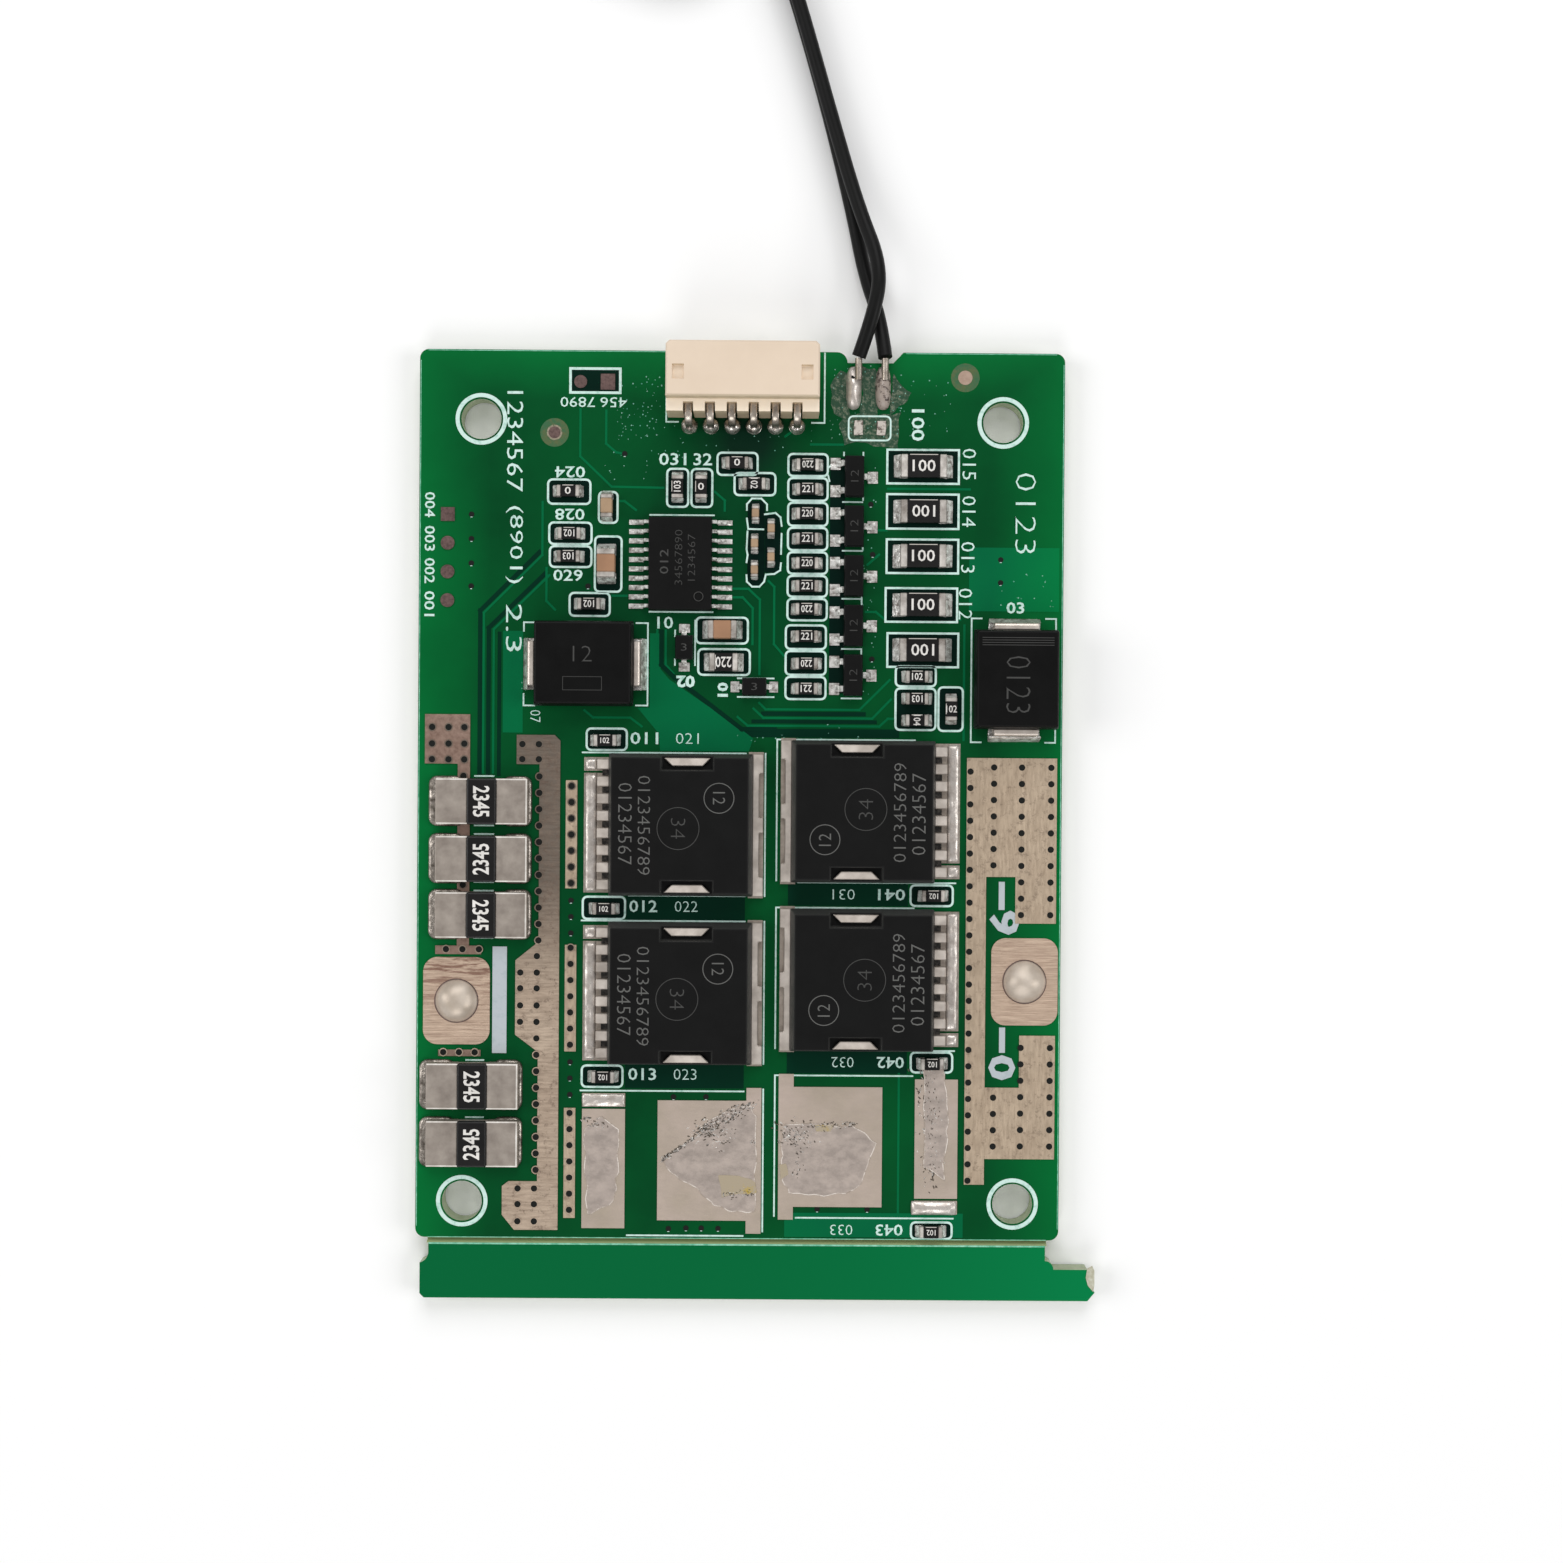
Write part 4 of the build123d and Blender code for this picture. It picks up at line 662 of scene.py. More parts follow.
def copper_under_mask():
    """Planes, traces and gaps that show through the mask."""
    planes = Sheet("copper_planes", "mask_over_copper", thickness=copper_skin)
    planes.block(-16.6, 4.3, -15.2, 11.4)
    planes.block(15.9, 13.0, 22.2, 17.45)
    planes.slab((
        (-5.6, 3.1), (0.6, 3.1), (0.9, 4.0), (-0.3, 4.9), (-5.0, 8.1), (-5.6, 8.8), (-5.7, 11.3),
        (-6.35, 11.3), (-6.35, 6.1), (-7.2, 6.1), (-5.7, 4.3),
    ))
    planes.block(3.3, -30.85, 15.8, -29.15)
    gaps = Sheet("copper_gaps", "mask_over_gap")
    for share, width, route in (
        (0.5, 0.3, ((-18.2, 1.4), (-18.2, 12.8), (-14.1, 16.9))),
        (0.5, 0.3, ((-17.6, 1.4), (-17.6, 11.6), (-13.7, 15.4))), (0.5, 0.26, ((-16.85, 1.4), (-16.85, 11.2))),
        (1.5, 0.3, ((-5.55, 11.4), (-5.55, 9.1), (-4.6, 8.2), (0.1, 4.65), (2.4, 4.65))),
        (0.5, 0.3, ((1.6, 5.75), (8.6, 5.75))), (0.5, 0.26, ((0.9, 5.2), (9.4, 5.2))),
        (0.5, 0.6, ((0.6, 4.4), (10.8, 4.4))),
    ):
        gaps.thickness = copper_skin * share
        gaps.paths(width, route)
    for low in (-8.75, -8.75 - row_pitch):
        gaps.block(-7.9, low, 0.4, low + 1.7)
        gaps.block(3.4, low + 1.1, 11.8, low + 2.75)
    traces = Sheet("copper_traces", "mask_over_copper", thickness=copper_skin)
    traces.paths(
        trace_width,
        ((-17.95, 1.5), (-17.95, 12.65), (-13.9, 16.7), (-13.9, 20.4)),
        ((-17.25, 1.5), (-17.25, 11.5), (-13.4, 15.3)),
        ((-11.3, 26.9), (-11.3, 23.6), (-9.1, 21.5), (-5.5, 21.45)),
        ((-9.5, 26.8), (-9.5, 24.5), (-8.8, 23.9), (-8.3, 23.8)),
        ((-0.6, 14.45), (0.5, 14.45), (1.3, 13.7), (1.3, 8.5)),
        ((-0.6, 13.85), (0.1, 13.85), (0.8, 13.1), (0.8, 10.6)),
        ((1.9, 15.0), (2.3, 14.6), (2.3, 10.6), (3.0, 9.8)),
        ((1.3, 6.5), (1.75, 6.05), (8.3, 6.05), (10.4, 8.15)),
        ((0.9, 6.1), (1.6, 5.45), (9.2, 5.45), (10.5, 6.8)),
        ((-0.2, 5.5), (0.5, 4.9), (9.7, 4.9), (10.3, 5.45), (10.8, 5.45)),
        ((-5.85, 11.5), (-5.85, 8.9), (-5.2, 8.2)),
        ((-5.25, 11.5), (-5.25, 9.1), (-4.7, 8.5)),
        ((-4.5, 8.0), (-0.3, 5.0)), ((4.8, 24.55), (7.0, 24.55)),
        ((-10.9, 5.9), (-10.3, 5.4), (-7.7, 5.4), (-6.9, 4.8)),
        ((-13.0, 12.9), (-13.6, 13.5), (-13.6, 15.8)), ((-8.0, 13.9), (-9.0, 13.9)),
        ((-9.0, 20.5), (-8.2, 20.5), (-7.4, 19.9)), ((10.2, 21.5), (15.9, 21.5)),
        ((8.7, 12.9), (9.4, 12.9), (10.0, 12.4), (15.3, 12.4)), ((8.8, 16.2), (9.6, 16.9)),
        ((15.6, 12.0), (15.6, 4.0)), ((11.25, -19.4), (11.25, -29.3)), ((9.0, 18.6), (10.1, 18.6)),
        ((3.0, 25.1), (4.2, 26.0)), ((-1.9, 21.2), (-1.2, 20.6), (-1.2, 19.9)),
    )
    for sheet in (planes, gaps, traces):
        sheet.done()


def score_lips():
    """Pale torn lips of mask along both sides of the score, the board's rims and the broken rail end."""
    lips = Sheet("score_lips", "torn_mask_lip")
    lips.stroke((-21.6, -30.98), (21.6, -30.98), 0.05)
    lips.stroke((-21.5, -31.43), (21.5, -31.43), 0.11)
    lips.thickness = ink_skin / 2
    lips.paths(0.05, ((-22.42, -30.2), (-22.42, 30.2)), ((22.42, -30.2), (22.42, 30.2)),
               ((-21.9, 30.93), (-5.4, 30.93)), ((11.4, 30.93), (21.9, 30.93)))
    lips.done()
    fibre = Sheet("broken_fibre", "glass_fibre")
    fibre.slab(((24.55, -32.95), (24.9, -32.75), (25.05, -33.1), (25.06, -34.1), (24.98, -34.6),
                (24.6, -34.15), (24.45, -33.6)))
    fibre.done()


def column(x, top, pitch, count):
    """Places of a column of vias."""
    return [(x, top - pitch * i) for i in range(count)]


def grid(xs, ys):
    return [(x, y) for x in xs for y in ys]


def vias():
    """Plated holes: a tinned rim round a mouth of painted shade on the tinned lands; under the mask a dimple of
    painted shade with a small painted glint.
    """
    left = grid((-21.5, -20.35, -19.25), (4.65, 3.5, 2.4)) + [(-19.3, 1.25), (-19.3, -6.35)]
    left += grid((-20.45, -19.3, -18.15), (-10.85,)) + grid((-20.6, -19.5, -18.4), (-18.05,))
    left += grid((-15.2, -14.05), (3.5, 2.45)) + column(-14.0, 1.25, 1.145, 11)
    left += grid((-15.25, -14.1), (-12.45, -13.55, -14.75, -15.9)) + [(-14.1, -11.3), (-14.1, -17.05)]
    left += column(-14.1, -18.2, 1.15, 8) + grid((-15.35, -14.2), (-27.55, -28.65, -29.85))
    for top in (0.6, -10.7, -22.25):
        left += column(-11.75, top, 1.13, 7)
    right = column(16.1, 1.8, 1.145, 26) + column(17.75, 2.1, 1.14, 7)
    right += column(19.7, 2.1, 1.145, 10) + column(21.75, 2.1, 1.145, 10) + column(17.85, -21.0, 1.14, 4)
    right += column(19.75, -17.5, 1.15, 7) + column(21.8, -17.5, 1.15, 7)
    rims = Sheet("via_rims", "tarnished_bus", "tinned_copper", land_z, 0.025)
    mouths = Sheet("via_mouths", "hole_dark", "tinned_copper", land_z, 0.008)
    for x, y in left:
        rims.ring(x, y, 0.23, 0.3, sides=12)
    # Painted shade: a dark disc in the mouth of each hole.
    for x, y in left + right:
        mouths.disc(x, y, 0.225, sides=12)
    # Painted shade in each covered via's dimple, and a painted glint just below it.
    dimples = Sheet("covered_vias", "hole_dark", thickness=copper_skin * 1.6)
    painted_glints = Sheet("painted_via_glints", "printed_white", thickness=copper_skin * 1.8)
    for x, y in column(-11.75, -7.4, 1.14, 3) + column(-11.75, -18.7, 1.14, 3) + [
        (-10.7, 14.55), (18.1, 16.6), (18.1, 15.0), (9.15, 9.6), (9.15, 16.9), (9.0, 20.4), (-8.2, 23.8),
        (-18.85, 19.5), (-18.85, 17.8), (-18.85, 16.1), (-18.85, 14.5), (5.6, -28.9), (9.1, -28.9),
        (5.6, -17.0), (-4.8, -30.33), (-3.57, -30.28), (-2.5, -30.28), (-1.33, -30.3), (-4.5, -21.1),
        (-2.23, -21.08),
    ]:
        dimples.disc(x, y, 0.19, sides=12)
        painted_glints.stroke((x - 0.05, y - 0.19), (x + 0.05, y - 0.19), 0.04)
    for sheet in (rims, mouths, dimples, painted_glints):
        sheet.done()


def sighting_marks():
    """Round copper dots in clear openings of the mask, for lining the board up."""
    openings = Sheet("sighting_openings", "clear_opening", thickness=0.012)
    dot = Sheet("tinned_dot", "pink_tin", "tinned_copper", thickness=0.03)
    brown = Sheet("brown_dot", "oxidised_copper", "tinned_copper", thickness=0.03)
    rim = Sheet("brown_dot_rim", "worn_rim", "tinned_copper", thickness=0.032)
    bright_at, brown_at = (15.53, 29.28), (-13.1, 25.25)
    openings.ring(*brown_at, 0.5, 1.0)
    openings.ring(*bright_at, 0.5, 1.0)
    dot.disc(*bright_at, 0.5, sides=24)
    brown.disc(*brown_at, 0.42, sides=24)
    rim.ring(*brown_at, 0.42, 0.54, sides=24)
    for sheet in (openings, dot, brown, rim):
        sheet.done()


def printed_frames():
    """Outlines printed round the parts, and the dark windows inside them."""
    ink = Sheet("printed_frames", "printed_white")
    dark = Sheet("dark_windows", "dark_window", thickness=copper_skin * 1.2)
    softly = [
        (-13.6, 20.2, -10.5, 22.05), (-13.5, 17.4, -10.4, 19.05), (-13.45, 15.8, -10.4, 17.4),
        (-12.05, 12.4, -9.1, 14.15), (-5.3, 20.05, -3.68, 22.85), (-3.6, 20.05, -2.0, 22.85),
        (-1.8, 22.3, 1.15, 24.0), (-0.6, 20.9, 2.4, 22.6), (10.75, 7.65, 13.7, 9.2), (10.75, 4.6, 13.7, 7.65),
        (13.75, 4.55, 15.6, 7.75), (-10.8, 3.05, -7.85, 4.7), (-11.0, -8.75, -7.9, -7.05),
        (-11.0, -20.5, -8.0, -18.85), (11.9, -7.7, 15.0, -6.1), (12.0, -19.35, 15.05, -17.8),
        (12.1, -31.0, 15.1, -29.7), (-3.05, 8.35, 0.7, 10.3), (-3.2, 10.55, 0.55, 12.5),
        (-10.3, 14.1, -8.3, 18.1), (-10.05, 18.9, -8.6, 21.2),
    ]
    tops = (23.95, 22.27, 20.55, 18.8, 17.1, 15.45, 13.85, 12.2)
    softly += [(3.15, low, 6.05, high) for high, low in zip(tops, tops[1:])]
    softly += [(3.05, low, 6.0, high) for high, low in ((12.0, 10.2), (10.2, 8.4), (8.4, 6.7))]
    sharply = [
        (10.05, 21.8, 15.2, 24.3), (10.05, 18.65, 15.2, 21.2), (10.05, 15.55, 15.2, 18.05),
        (10.0, 12.15, 15.15, 14.65), (10.15, 9.0, 15.25, 11.5),
    ]
    ink.frame((7.35, 24.8, 10.4, 26.6), 0.38, 0.12)
    for corner, group in ((0.38, softly), (0.0, sharply)):
        for left, bottom, right, top in group:
            ink.frame((left, bottom, right, top), corner, white_line)
            dark.block(left + 0.1, bottom + 0.1, right - 0.1, top - 0.1)
    ink.frame((-12.1, 27.95, -8.45, 29.8), 0.0, 0.18)
    dark.block(-12.0, 28.1, -8.6, 29.65)
    dark.thickness = copper_skin
    for sides in ((1.62, 15.6, 2.7, 19.7), (0.4, 14.7, 1.6, 20.6), (6.15, 7.2, 7.2, 23.6)):
        dark.block(*sides)
    ink.paths(
        white_line * 0.8,
        ((0.35, 19.95), (0.35, 20.35), (0.7, 20.75), (1.35, 20.75), (1.75, 20.35), (1.75, 19.95)),
        ((1.6, 19.65), (2.35, 19.75), (2.7, 19.45), (2.78, 18.85)), ((0.35, 19.35), (0.45, 18.62), (1.5, 18.6)),
        ((0.4, 18.45), (0.35, 17.2), (0.42, 16.8), (0.35, 16.3)), ((2.78, 18.3), (2.75, 16.9)),
        ((2.75, 16.25), (2.7, 15.75), (2.3, 15.5), (1.7, 15.45), (1.58, 14.95), (1.25, 14.6), (0.75, 14.6),
         (0.38, 14.95), (0.35, 15.4)),
    )
    ink.done()
    dark.done()


def printed_lines():
    """Straight marks: corner hooks, part edges, hole rings and the wide bars."""
    ink = Sheet("printed_lines", "printed_white")
    ink.paths(
        thin_line,
        ((-5.32, 30.9), (-5.32, 26.05), (-4.5, 26.05)), ((5.72, 30.9), (5.72, 26.05), (4.85, 26.05)),
        ((-6.4, 12.8), (-2.0, 12.8)), ((-6.4, 19.55), (-1.95, 19.55)), ((-4.6, 11.5), (-4.6, 11.1)),
        ((-4.6, 9.5), (-4.6, 9.1)), ((-3.2, 12.2), (-3.2, 9.1)), ((-0.2, 8.2), (2.3, 8.2)),
        ((-0.2, 6.9), (2.3, 6.9)), ((-14.3, 12.0), (-15.15, 12.0), (-15.15, 11.4)),
        ((-14.4, 6.2), (-15.15, 6.2), (-15.15, 7.0)), ((-7.3, 12.0), (-6.5, 12.0), (-6.5, 6.25), (-7.3, 6.25)),
        ((16.8, 12.5), (16.1, 12.5), (16.1, 3.85), (16.8, 3.85)), ((21.3, 12.5), (22.0, 12.5), (22.0, 11.6)),
        ((22.0, 4.7), (22.0, 3.85), (21.3, 3.85)), ((7.1, 24.0), (7.1, 23.8)), ((8.45, 24.0), (8.45, 20.7)),
        ((8.45, 17.3), (8.45, 18.1)), ((8.4, 13.9), (8.4, 13.3)), ((8.4, 10.3), (8.4, 9.8)),
    )
    for left, right, heights in (
        (7.05, 8.4, (20.55, 17.15)), (7.05, 8.3, (13.8, 10.3)), (7.05, 8.4, (6.85,)),
        (-18.5, -17.2, (1.25, -2.2, -2.8, -6.15, -6.75, -10.05)), (-19.0, -17.8, (-18.6, -22.0, -22.6, -26.0)),
    ):
        for y in heights:
            ink.stroke((left, y), (right, y), thin_line)
    ink.paths(thin_line, ((6.0, 22.9), (6.3, 23.2)), ((6.0, 22.4), (6.1, 22.0)))
    for row, drop in enumerate((0.0, 0.0, 0.15)):
        fall = row_pitch * row
        for left, top, right, bottom in (
            (-11.0, 2.95 - drop, 0.4, 2.95 - drop), (-7.7, -7.02 - 2 * drop, 0.4, -7.02 - 2 * drop),
            (1.77, 2.95, 1.77, -7.0), (2.58, 3.95, 2.58, -5.9), (2.6, 3.95, 12.2, 3.95),
            (4.1, -6.02, 15.1, -6.02),
        ):
            ink.stroke((left, top - fall), (right, bottom - fall), thin_line)
    for x, y in ((18.2, 26.15), (19.25, -28.45)):
        for side in (-1, 1):
            ink.ring(side * x, y, 1.52, 1.8, sides=48)
    bars = Sheet("wide_bars", "wide_bar_ink")
    bars.block(-17.2, -18.1, -16.2, -10.65)
    bars.stroke((18.35, -6.1), (18.35, -7.65), 0.42)
    bars.stroke((18.45, -16.3), (18.45, -17.65), 0.42)
    bars.figures("9", 18.55, -8.75, 2.1, 1.7, -90, 0.03)
    bars.figures("0", 18.45, -18.9, 1.9, 1.75, -90, 0.03)
    ink.done()
    bars.done()


def printed_figures():
    """Plain figures beside the parts: text, X, Y, height, length, turn and weight."""
    ink = Sheet("printed_figures", "printed_white")
    marks = [
        ("1234567", -15.85, 24.6, 1.12, 7.0, -90, -0.006), ("(8901)", -15.85, 17.4, 1.2, 5.4, -90, -0.006),
        ("2.3", -15.85, 11.6, 1.12, 3.3, -90, -0.006), ("0123", 19.8, 19.85, 1.45, 5.6, -90, -0.02),
        ("456", -9.0, 27.38, 0.7, 1.85, 180, 0.0), ("7890", -11.5, 27.38, 0.7, 2.4, 180, 0.0),
        ("024", -12.0, 22.5, 0.8, 2.1, 180, 0.012), ("028", -12.0, 19.55, 0.8, 2.05, 180, 0.012),
        ("029", -12.1, 15.3, 0.8, 2.05, 0, 0.012), ("031", -4.85, 23.45, 0.85, 1.9, 0, 0.012),
        ("32", -2.75, 23.45, 0.85, 1.3, 0, 0.012), ("100", 12.25, 25.95, 0.9, 2.2, -90, 0.015),
        ("03", 19.15, 13.25, 0.8, 1.25, 0, 0.02), ("01", -5.3, 12.05, 0.85, 1.1, 180, 0.01),
        ("02", -3.85, 7.95, 0.85, 1.3, 180, 0.04), ("01", -1.25, 7.4, 0.75, 1.0, -90, 0.04),
        ("07", -14.32, 5.45, 0.72, 0.85, -90, -0.01),
    ]
    marks += [(f"00{4 - i}", -21.75, y, 0.72, 1.75, -90, 0.01) for i, y in enumerate((20.15, 17.8, 15.55, 13.25))]
    for i, (x, y) in enumerate(((15.85, 23.25), (15.85, 19.95), (15.8, 16.75), (15.65, 13.5))):
        marks.append((f"01{5 - i}", x, y, 0.95, 2.15, -90, -0.006))
    for row in range(3):
        fall = row_pitch * row
        marks += [
            (f"01{row + 1}", -6.7, 3.97 - fall, 0.85, 1.95, 0, 0.012),
            (f"02{row + 1}", -3.7, 3.97 - fall, 0.75, 1.6, 0, -0.012),
            (f"03{row + 1}", 7.3, -6.85 - fall, 0.72, 1.55, 180, -0.012),
            (f"04{row + 1}", 10.65, -6.85 - fall, 0.8, 1.9, 180, 0.012),
        ]
    for mark in marks:
        ink.figures(*mark)
    ink.done()


# Parts


def transistors():
    """Bodies with softened edges and grey slopes of painted highlight, lead frames, painted shade in the gaps at
    the body's foot, and faint marks on top.
    """
    laser = Sheet("transistor_marks", "laser_grey", "black_moulding", thickness=mark_skin)
    faint = Sheet("transistor_faint_marks", "faint_grey", "black_moulding", thickness=mark_skin)
    # Painted shade: dark blocks in the gaps between the leads at the body's foot.
    between = Sheet("shaded_gaps", "shaded_gap", "solder", land_z, 0.12)
    for name, side in power_transistors:
        low, mid, high = mm_box(f"{name}_body")
        cover(f"{name}_case", f"{name}_body", "case_resin", 0.09)
        cover(f"{name}_metal", f"{name}_leadframe", "lead_tin", 0.05, 1)
        laser.z = faint.z = high.z
        foot = low.x if side > 0 else high.x
        near, far = sorted((foot + side * 0.05, foot - side * 0.5))
        for step in range(-3, 4):
            y = mid.y + 1.2 * step
            between.block(near, y - 0.2, far, y + 0.2)
        for sheet, text, back, up, *size in (
            (laser, "0123456789", 2.45, 0.0, 0.86, 6.8, -90 * side, -0.014),
            (laser, "01234567", 3.75, 0.1, 0.95, 5.6, -90 * side, -0.014),
            (laser, "12", -2.7, 1.9, 0.85, 0.85, -90 * side, -0.01),
            (faint, "34", 0.1, -0.2, 1.0, 1.4, -90 * side, -0.02),
        ):
            sheet.figures(text, mid.x - side * back, mid.y + side * up, *size)
        laser.ring(mid.x + side * 2.7, mid.y + side * 1.9, 1.0, 1.06)
        faint.ring(mid.x - side * 0.1, mid.y - side * 0.2, 1.42, 1.47, sides=40)
    for sheet in (laser, faint, between):
        sheet.done()


def transistor_solder():
    """Solder on the source and gate lands: a lumpy strip along the outer edge of each."""
    wet = bmesh.new()
    for low, mid, high in solids_in("transistor_lands"):
        if high.x - low.x >= narrow_land:
            continue
        tall = high.y - low.y
        outward = -1 if low.x < 0 else 1
        edge = low.x if outward < 0 else high.x
        near, far = sorted((edge - outward * 0.04, edge - outward * 0.92))
        part = bmesh.new()
        bmesh.ops.create_grid(part, x_segments=5, y_segments=max(3, int(tall / 0.22)), size=0.5)
        middle = Matrix.Translation(((near + far) / 2, mid.y, land_z + 0.1))
        bmesh.ops.transform(part, matrix=middle @ Matrix.Diagonal((far - near, tall - 0.06, 1, 1)),
                            verts=part.verts)
        for vert in part.verts:
            x, y, _ = vert.co
            inside = min(x - near, far - x, y - low.y, high.y - y) > 0.05
            vert.co.z += 0.11 * noise.noise(vert.co / 0.45) + 0.05 if inside else -0.1
        join(wet, part)
    bmesh.ops.solidify(wet, geom=wet.faces[:], thickness=0.02)
    piece("transistor_solder", wet, "dull_solder", smooth=True)


def open_land_residue():
    """What is left where two transistors were never fitted: a film of solder with painted highlight and shade on
    its rims, flux, and frozen crumbs among dark cones of painted shadow.
    """
    film = Sheet("solder_film", "flowed_film", "solder", land_z)
    # The rims carry painted highlight and shade in light and dark specks.
    rims = Sheet("film_rims", "film_edge", "solder", land_z)
    stains = Sheet("dried_flux_stains", "dried_flux", "solder", land_z, 0.035)
    for film.thickness, corners in (
        (0.02, ((-5.2, -25.6), (-2.8, -23.6), (-1.2, -22.1), (0.9, -21.75), (1.25, -22.6), (1.3, -29.2),
                (-0.2, -29.1), (-1.7, -28.7), (-2.9, -27.5), (-4.1, -26.9))),
        (0.02, ((3.1, -23.0), (8.0, -22.95), (9.7, -24.3), (8.3, -27.6), (6.1, -28.0), (3.5, -27.9), (3.1, -25.4))),
        (0.02, ((-10.7, -23.4), (-9.3, -22.5), (-8.4, -23.3), (-8.3, -27.6), (-9.0, -28.9), (-10.5, -29.2))),
        (0.03, ((12.9, -18.6), (14.2, -18.3), (14.8, -22.0), (14.4, -26.9), (13.1, -25.9))),
    ):
        film.wavering(corners, 0.3, rims)
    for sway, corners in (
        (0.15, ((-1.3, -26.6), (0.1, -26.5), (1.3, -27.0), (1.3, -27.75), (-0.2, -27.9), (-1.0, -28.1))),
        (0.1, ((2.95, -25.8), (3.4, -25.7), (3.6, -26.5), (3.1, -26.8))),
        (0.1, ((5.4, -23.0), (6.7, -23.0), (6.5, -23.45), (5.5, -23.4))),
    ):
        stains.wavering(corners, sway)
    for sheet in (rims, film, stains):
        sheet.done()
    rng = random.Random(11)
    crumbs, shadows = bmesh.new(), bmesh.new()
    for start, end, reach, count in (
        ((-5.4, -25.6), (-3.0, -23.9), 0.07, 110), ((-3.0, -23.7), (0.2, -22.0), 0.28, 230),
        ((-2.4, -23.3), (-0.6, -23.9), 0.42, 110), ((0.1, -22.0), (1.0, -21.5), 0.16, 40),
        ((-0.9, -27.9), (1.2, -27.8), 0.14, 60), ((3.2, -23.2), (5.0, -24.2), 0.45, 150),
        ((5.0, -23.0), (8.2, -22.9), 0.14, 60), ((4.0, -26.5), (4.6, -25.4), 0.2, 20),
        ((13.4, -18.6), (13.6, -27.0), 0.45, 170), ((-10.6, -22.6), (-9.4, -23.4), 0.2, 40),
        ((1.0, -24.1), (1.3, -24.4), 0.1, 10),
    ):
        start, run = Vector(start), Vector(end) - Vector(start)
        heading = run.angle_signed(Vector((1, 0)), 0.0)
        for _ in range(count):
            place = start + run * rng.random() + Vector((rng.gauss(0, reach), rng.gauss(0, reach)))
            size = rng.uniform(0.03, 0.075)
            # Painted shadow: nearly half the cones are dark, set among the bright crumbs.
            target = crumbs if rng.random() < 0.55 else shadows
            turned = Matrix.Rotation(heading + rng.gauss(0, 0.5), 4, "Z")
            lying = Matrix.Translation((*place, land_z + 0.03)) @ turned @ Matrix.Diagonal((2.0, 0.75, 1, 1))
            bmesh.ops.create_cone(target, cap_ends=True, segments=5, radius1=size, radius2=size * 0.4,
                                  depth=0.05, matrix=lying)
    piece("frozen_crumbs", crumbs, "bright_solder")
    piece("crumb_shadows", shadows, "dirty_flux")
    swell = bmesh.new()
    for x, y, reach_x, reach_y, height in ((13.75, -28.75, 1.6, 0.48, 0.22), (-9.4, -21.35, 1.5, 0.45, 0.1)):
        part = bmesh.new()
        bmesh.ops.create_grid(part, x_segments=24, y_segments=8, size=1.0)
        for vert in part.verts:
            u, v, _ = vert.co
            lift = (1 - u ** 6) * (1 - v ** 2) * height + 0.02 + 0.03 * noise.noise(Vector((u * 3, v * 2, x)))
            vert.co = Vector((x + u * reach_x * (1 - 0.03 * v * v), y + v * reach_y, land_z + lift))
        bmesh.ops.solidify(part, geom=part.faces[:], thickness=0.02)
        join(swell, part)
    piece("gate_land_swell", swell, "dull_solder", smooth=True)


def shunts():
    """Metal strips with softened corners and painted highlights along their edges, black coats, pillows of solder
    and bold figures.
    """
    cover("shunt_metal_strips", "shunt_strips", "shunt_tin", 0.07)
    cover("shunt_black_coats", "shunt_coats", "black_coat", 0.12)
    joints = bmesh.new()
    # Painted highlight: thin bright lines along the edges of each strip.
    painted_glints = Sheet("shunt_painted_edge_highlights", "edge_glint", "shunt_metal", thickness=0.012)
    for low, mid, high in solids_in("shunt_strips"):
        painted_glints.z = high.z
        painted_glints.paths(0.09, rectangle(low.x + 0.1, low.y + 0.07, high.x - 0.1, high.y - 0.07))
        for end, inward, past in ((low.x, 1, 0.6), (high.x, -1, 0.2)):
            near, far = sorted((end - inward * past, end + inward * 1.9))
            part = outline(rectangle(near, low.y - 0.16, far, high.y + 0.16), mask_z)
            rounded(part, part.verts[:], 0.6, 5, "VERTICES")
            raised(part, 0.34)
            rounded(part, [e for e in part.edges if all(v.co.z > mask_z + 0.3 for v in e.verts)], 0.2, 3)
            join(joints, part)
    piece("shunt_soldered_ends", joints, "marbled_solder", ["shunt_solder"], smooth=True)
    painted_glints.done()
    bold = Sheet("shunt_figures", "white_figures", "black_coat", thickness=mark_skin)
    for (low, mid, high), turn in zip(solids_in("shunt_coats"), (-90, 90, -90, -90, 90)):
        bold.z = high.z
        bold.figures("2345", mid.x, mid.y, 1.15, 2.15, turn, 0.02)
    bold.done()


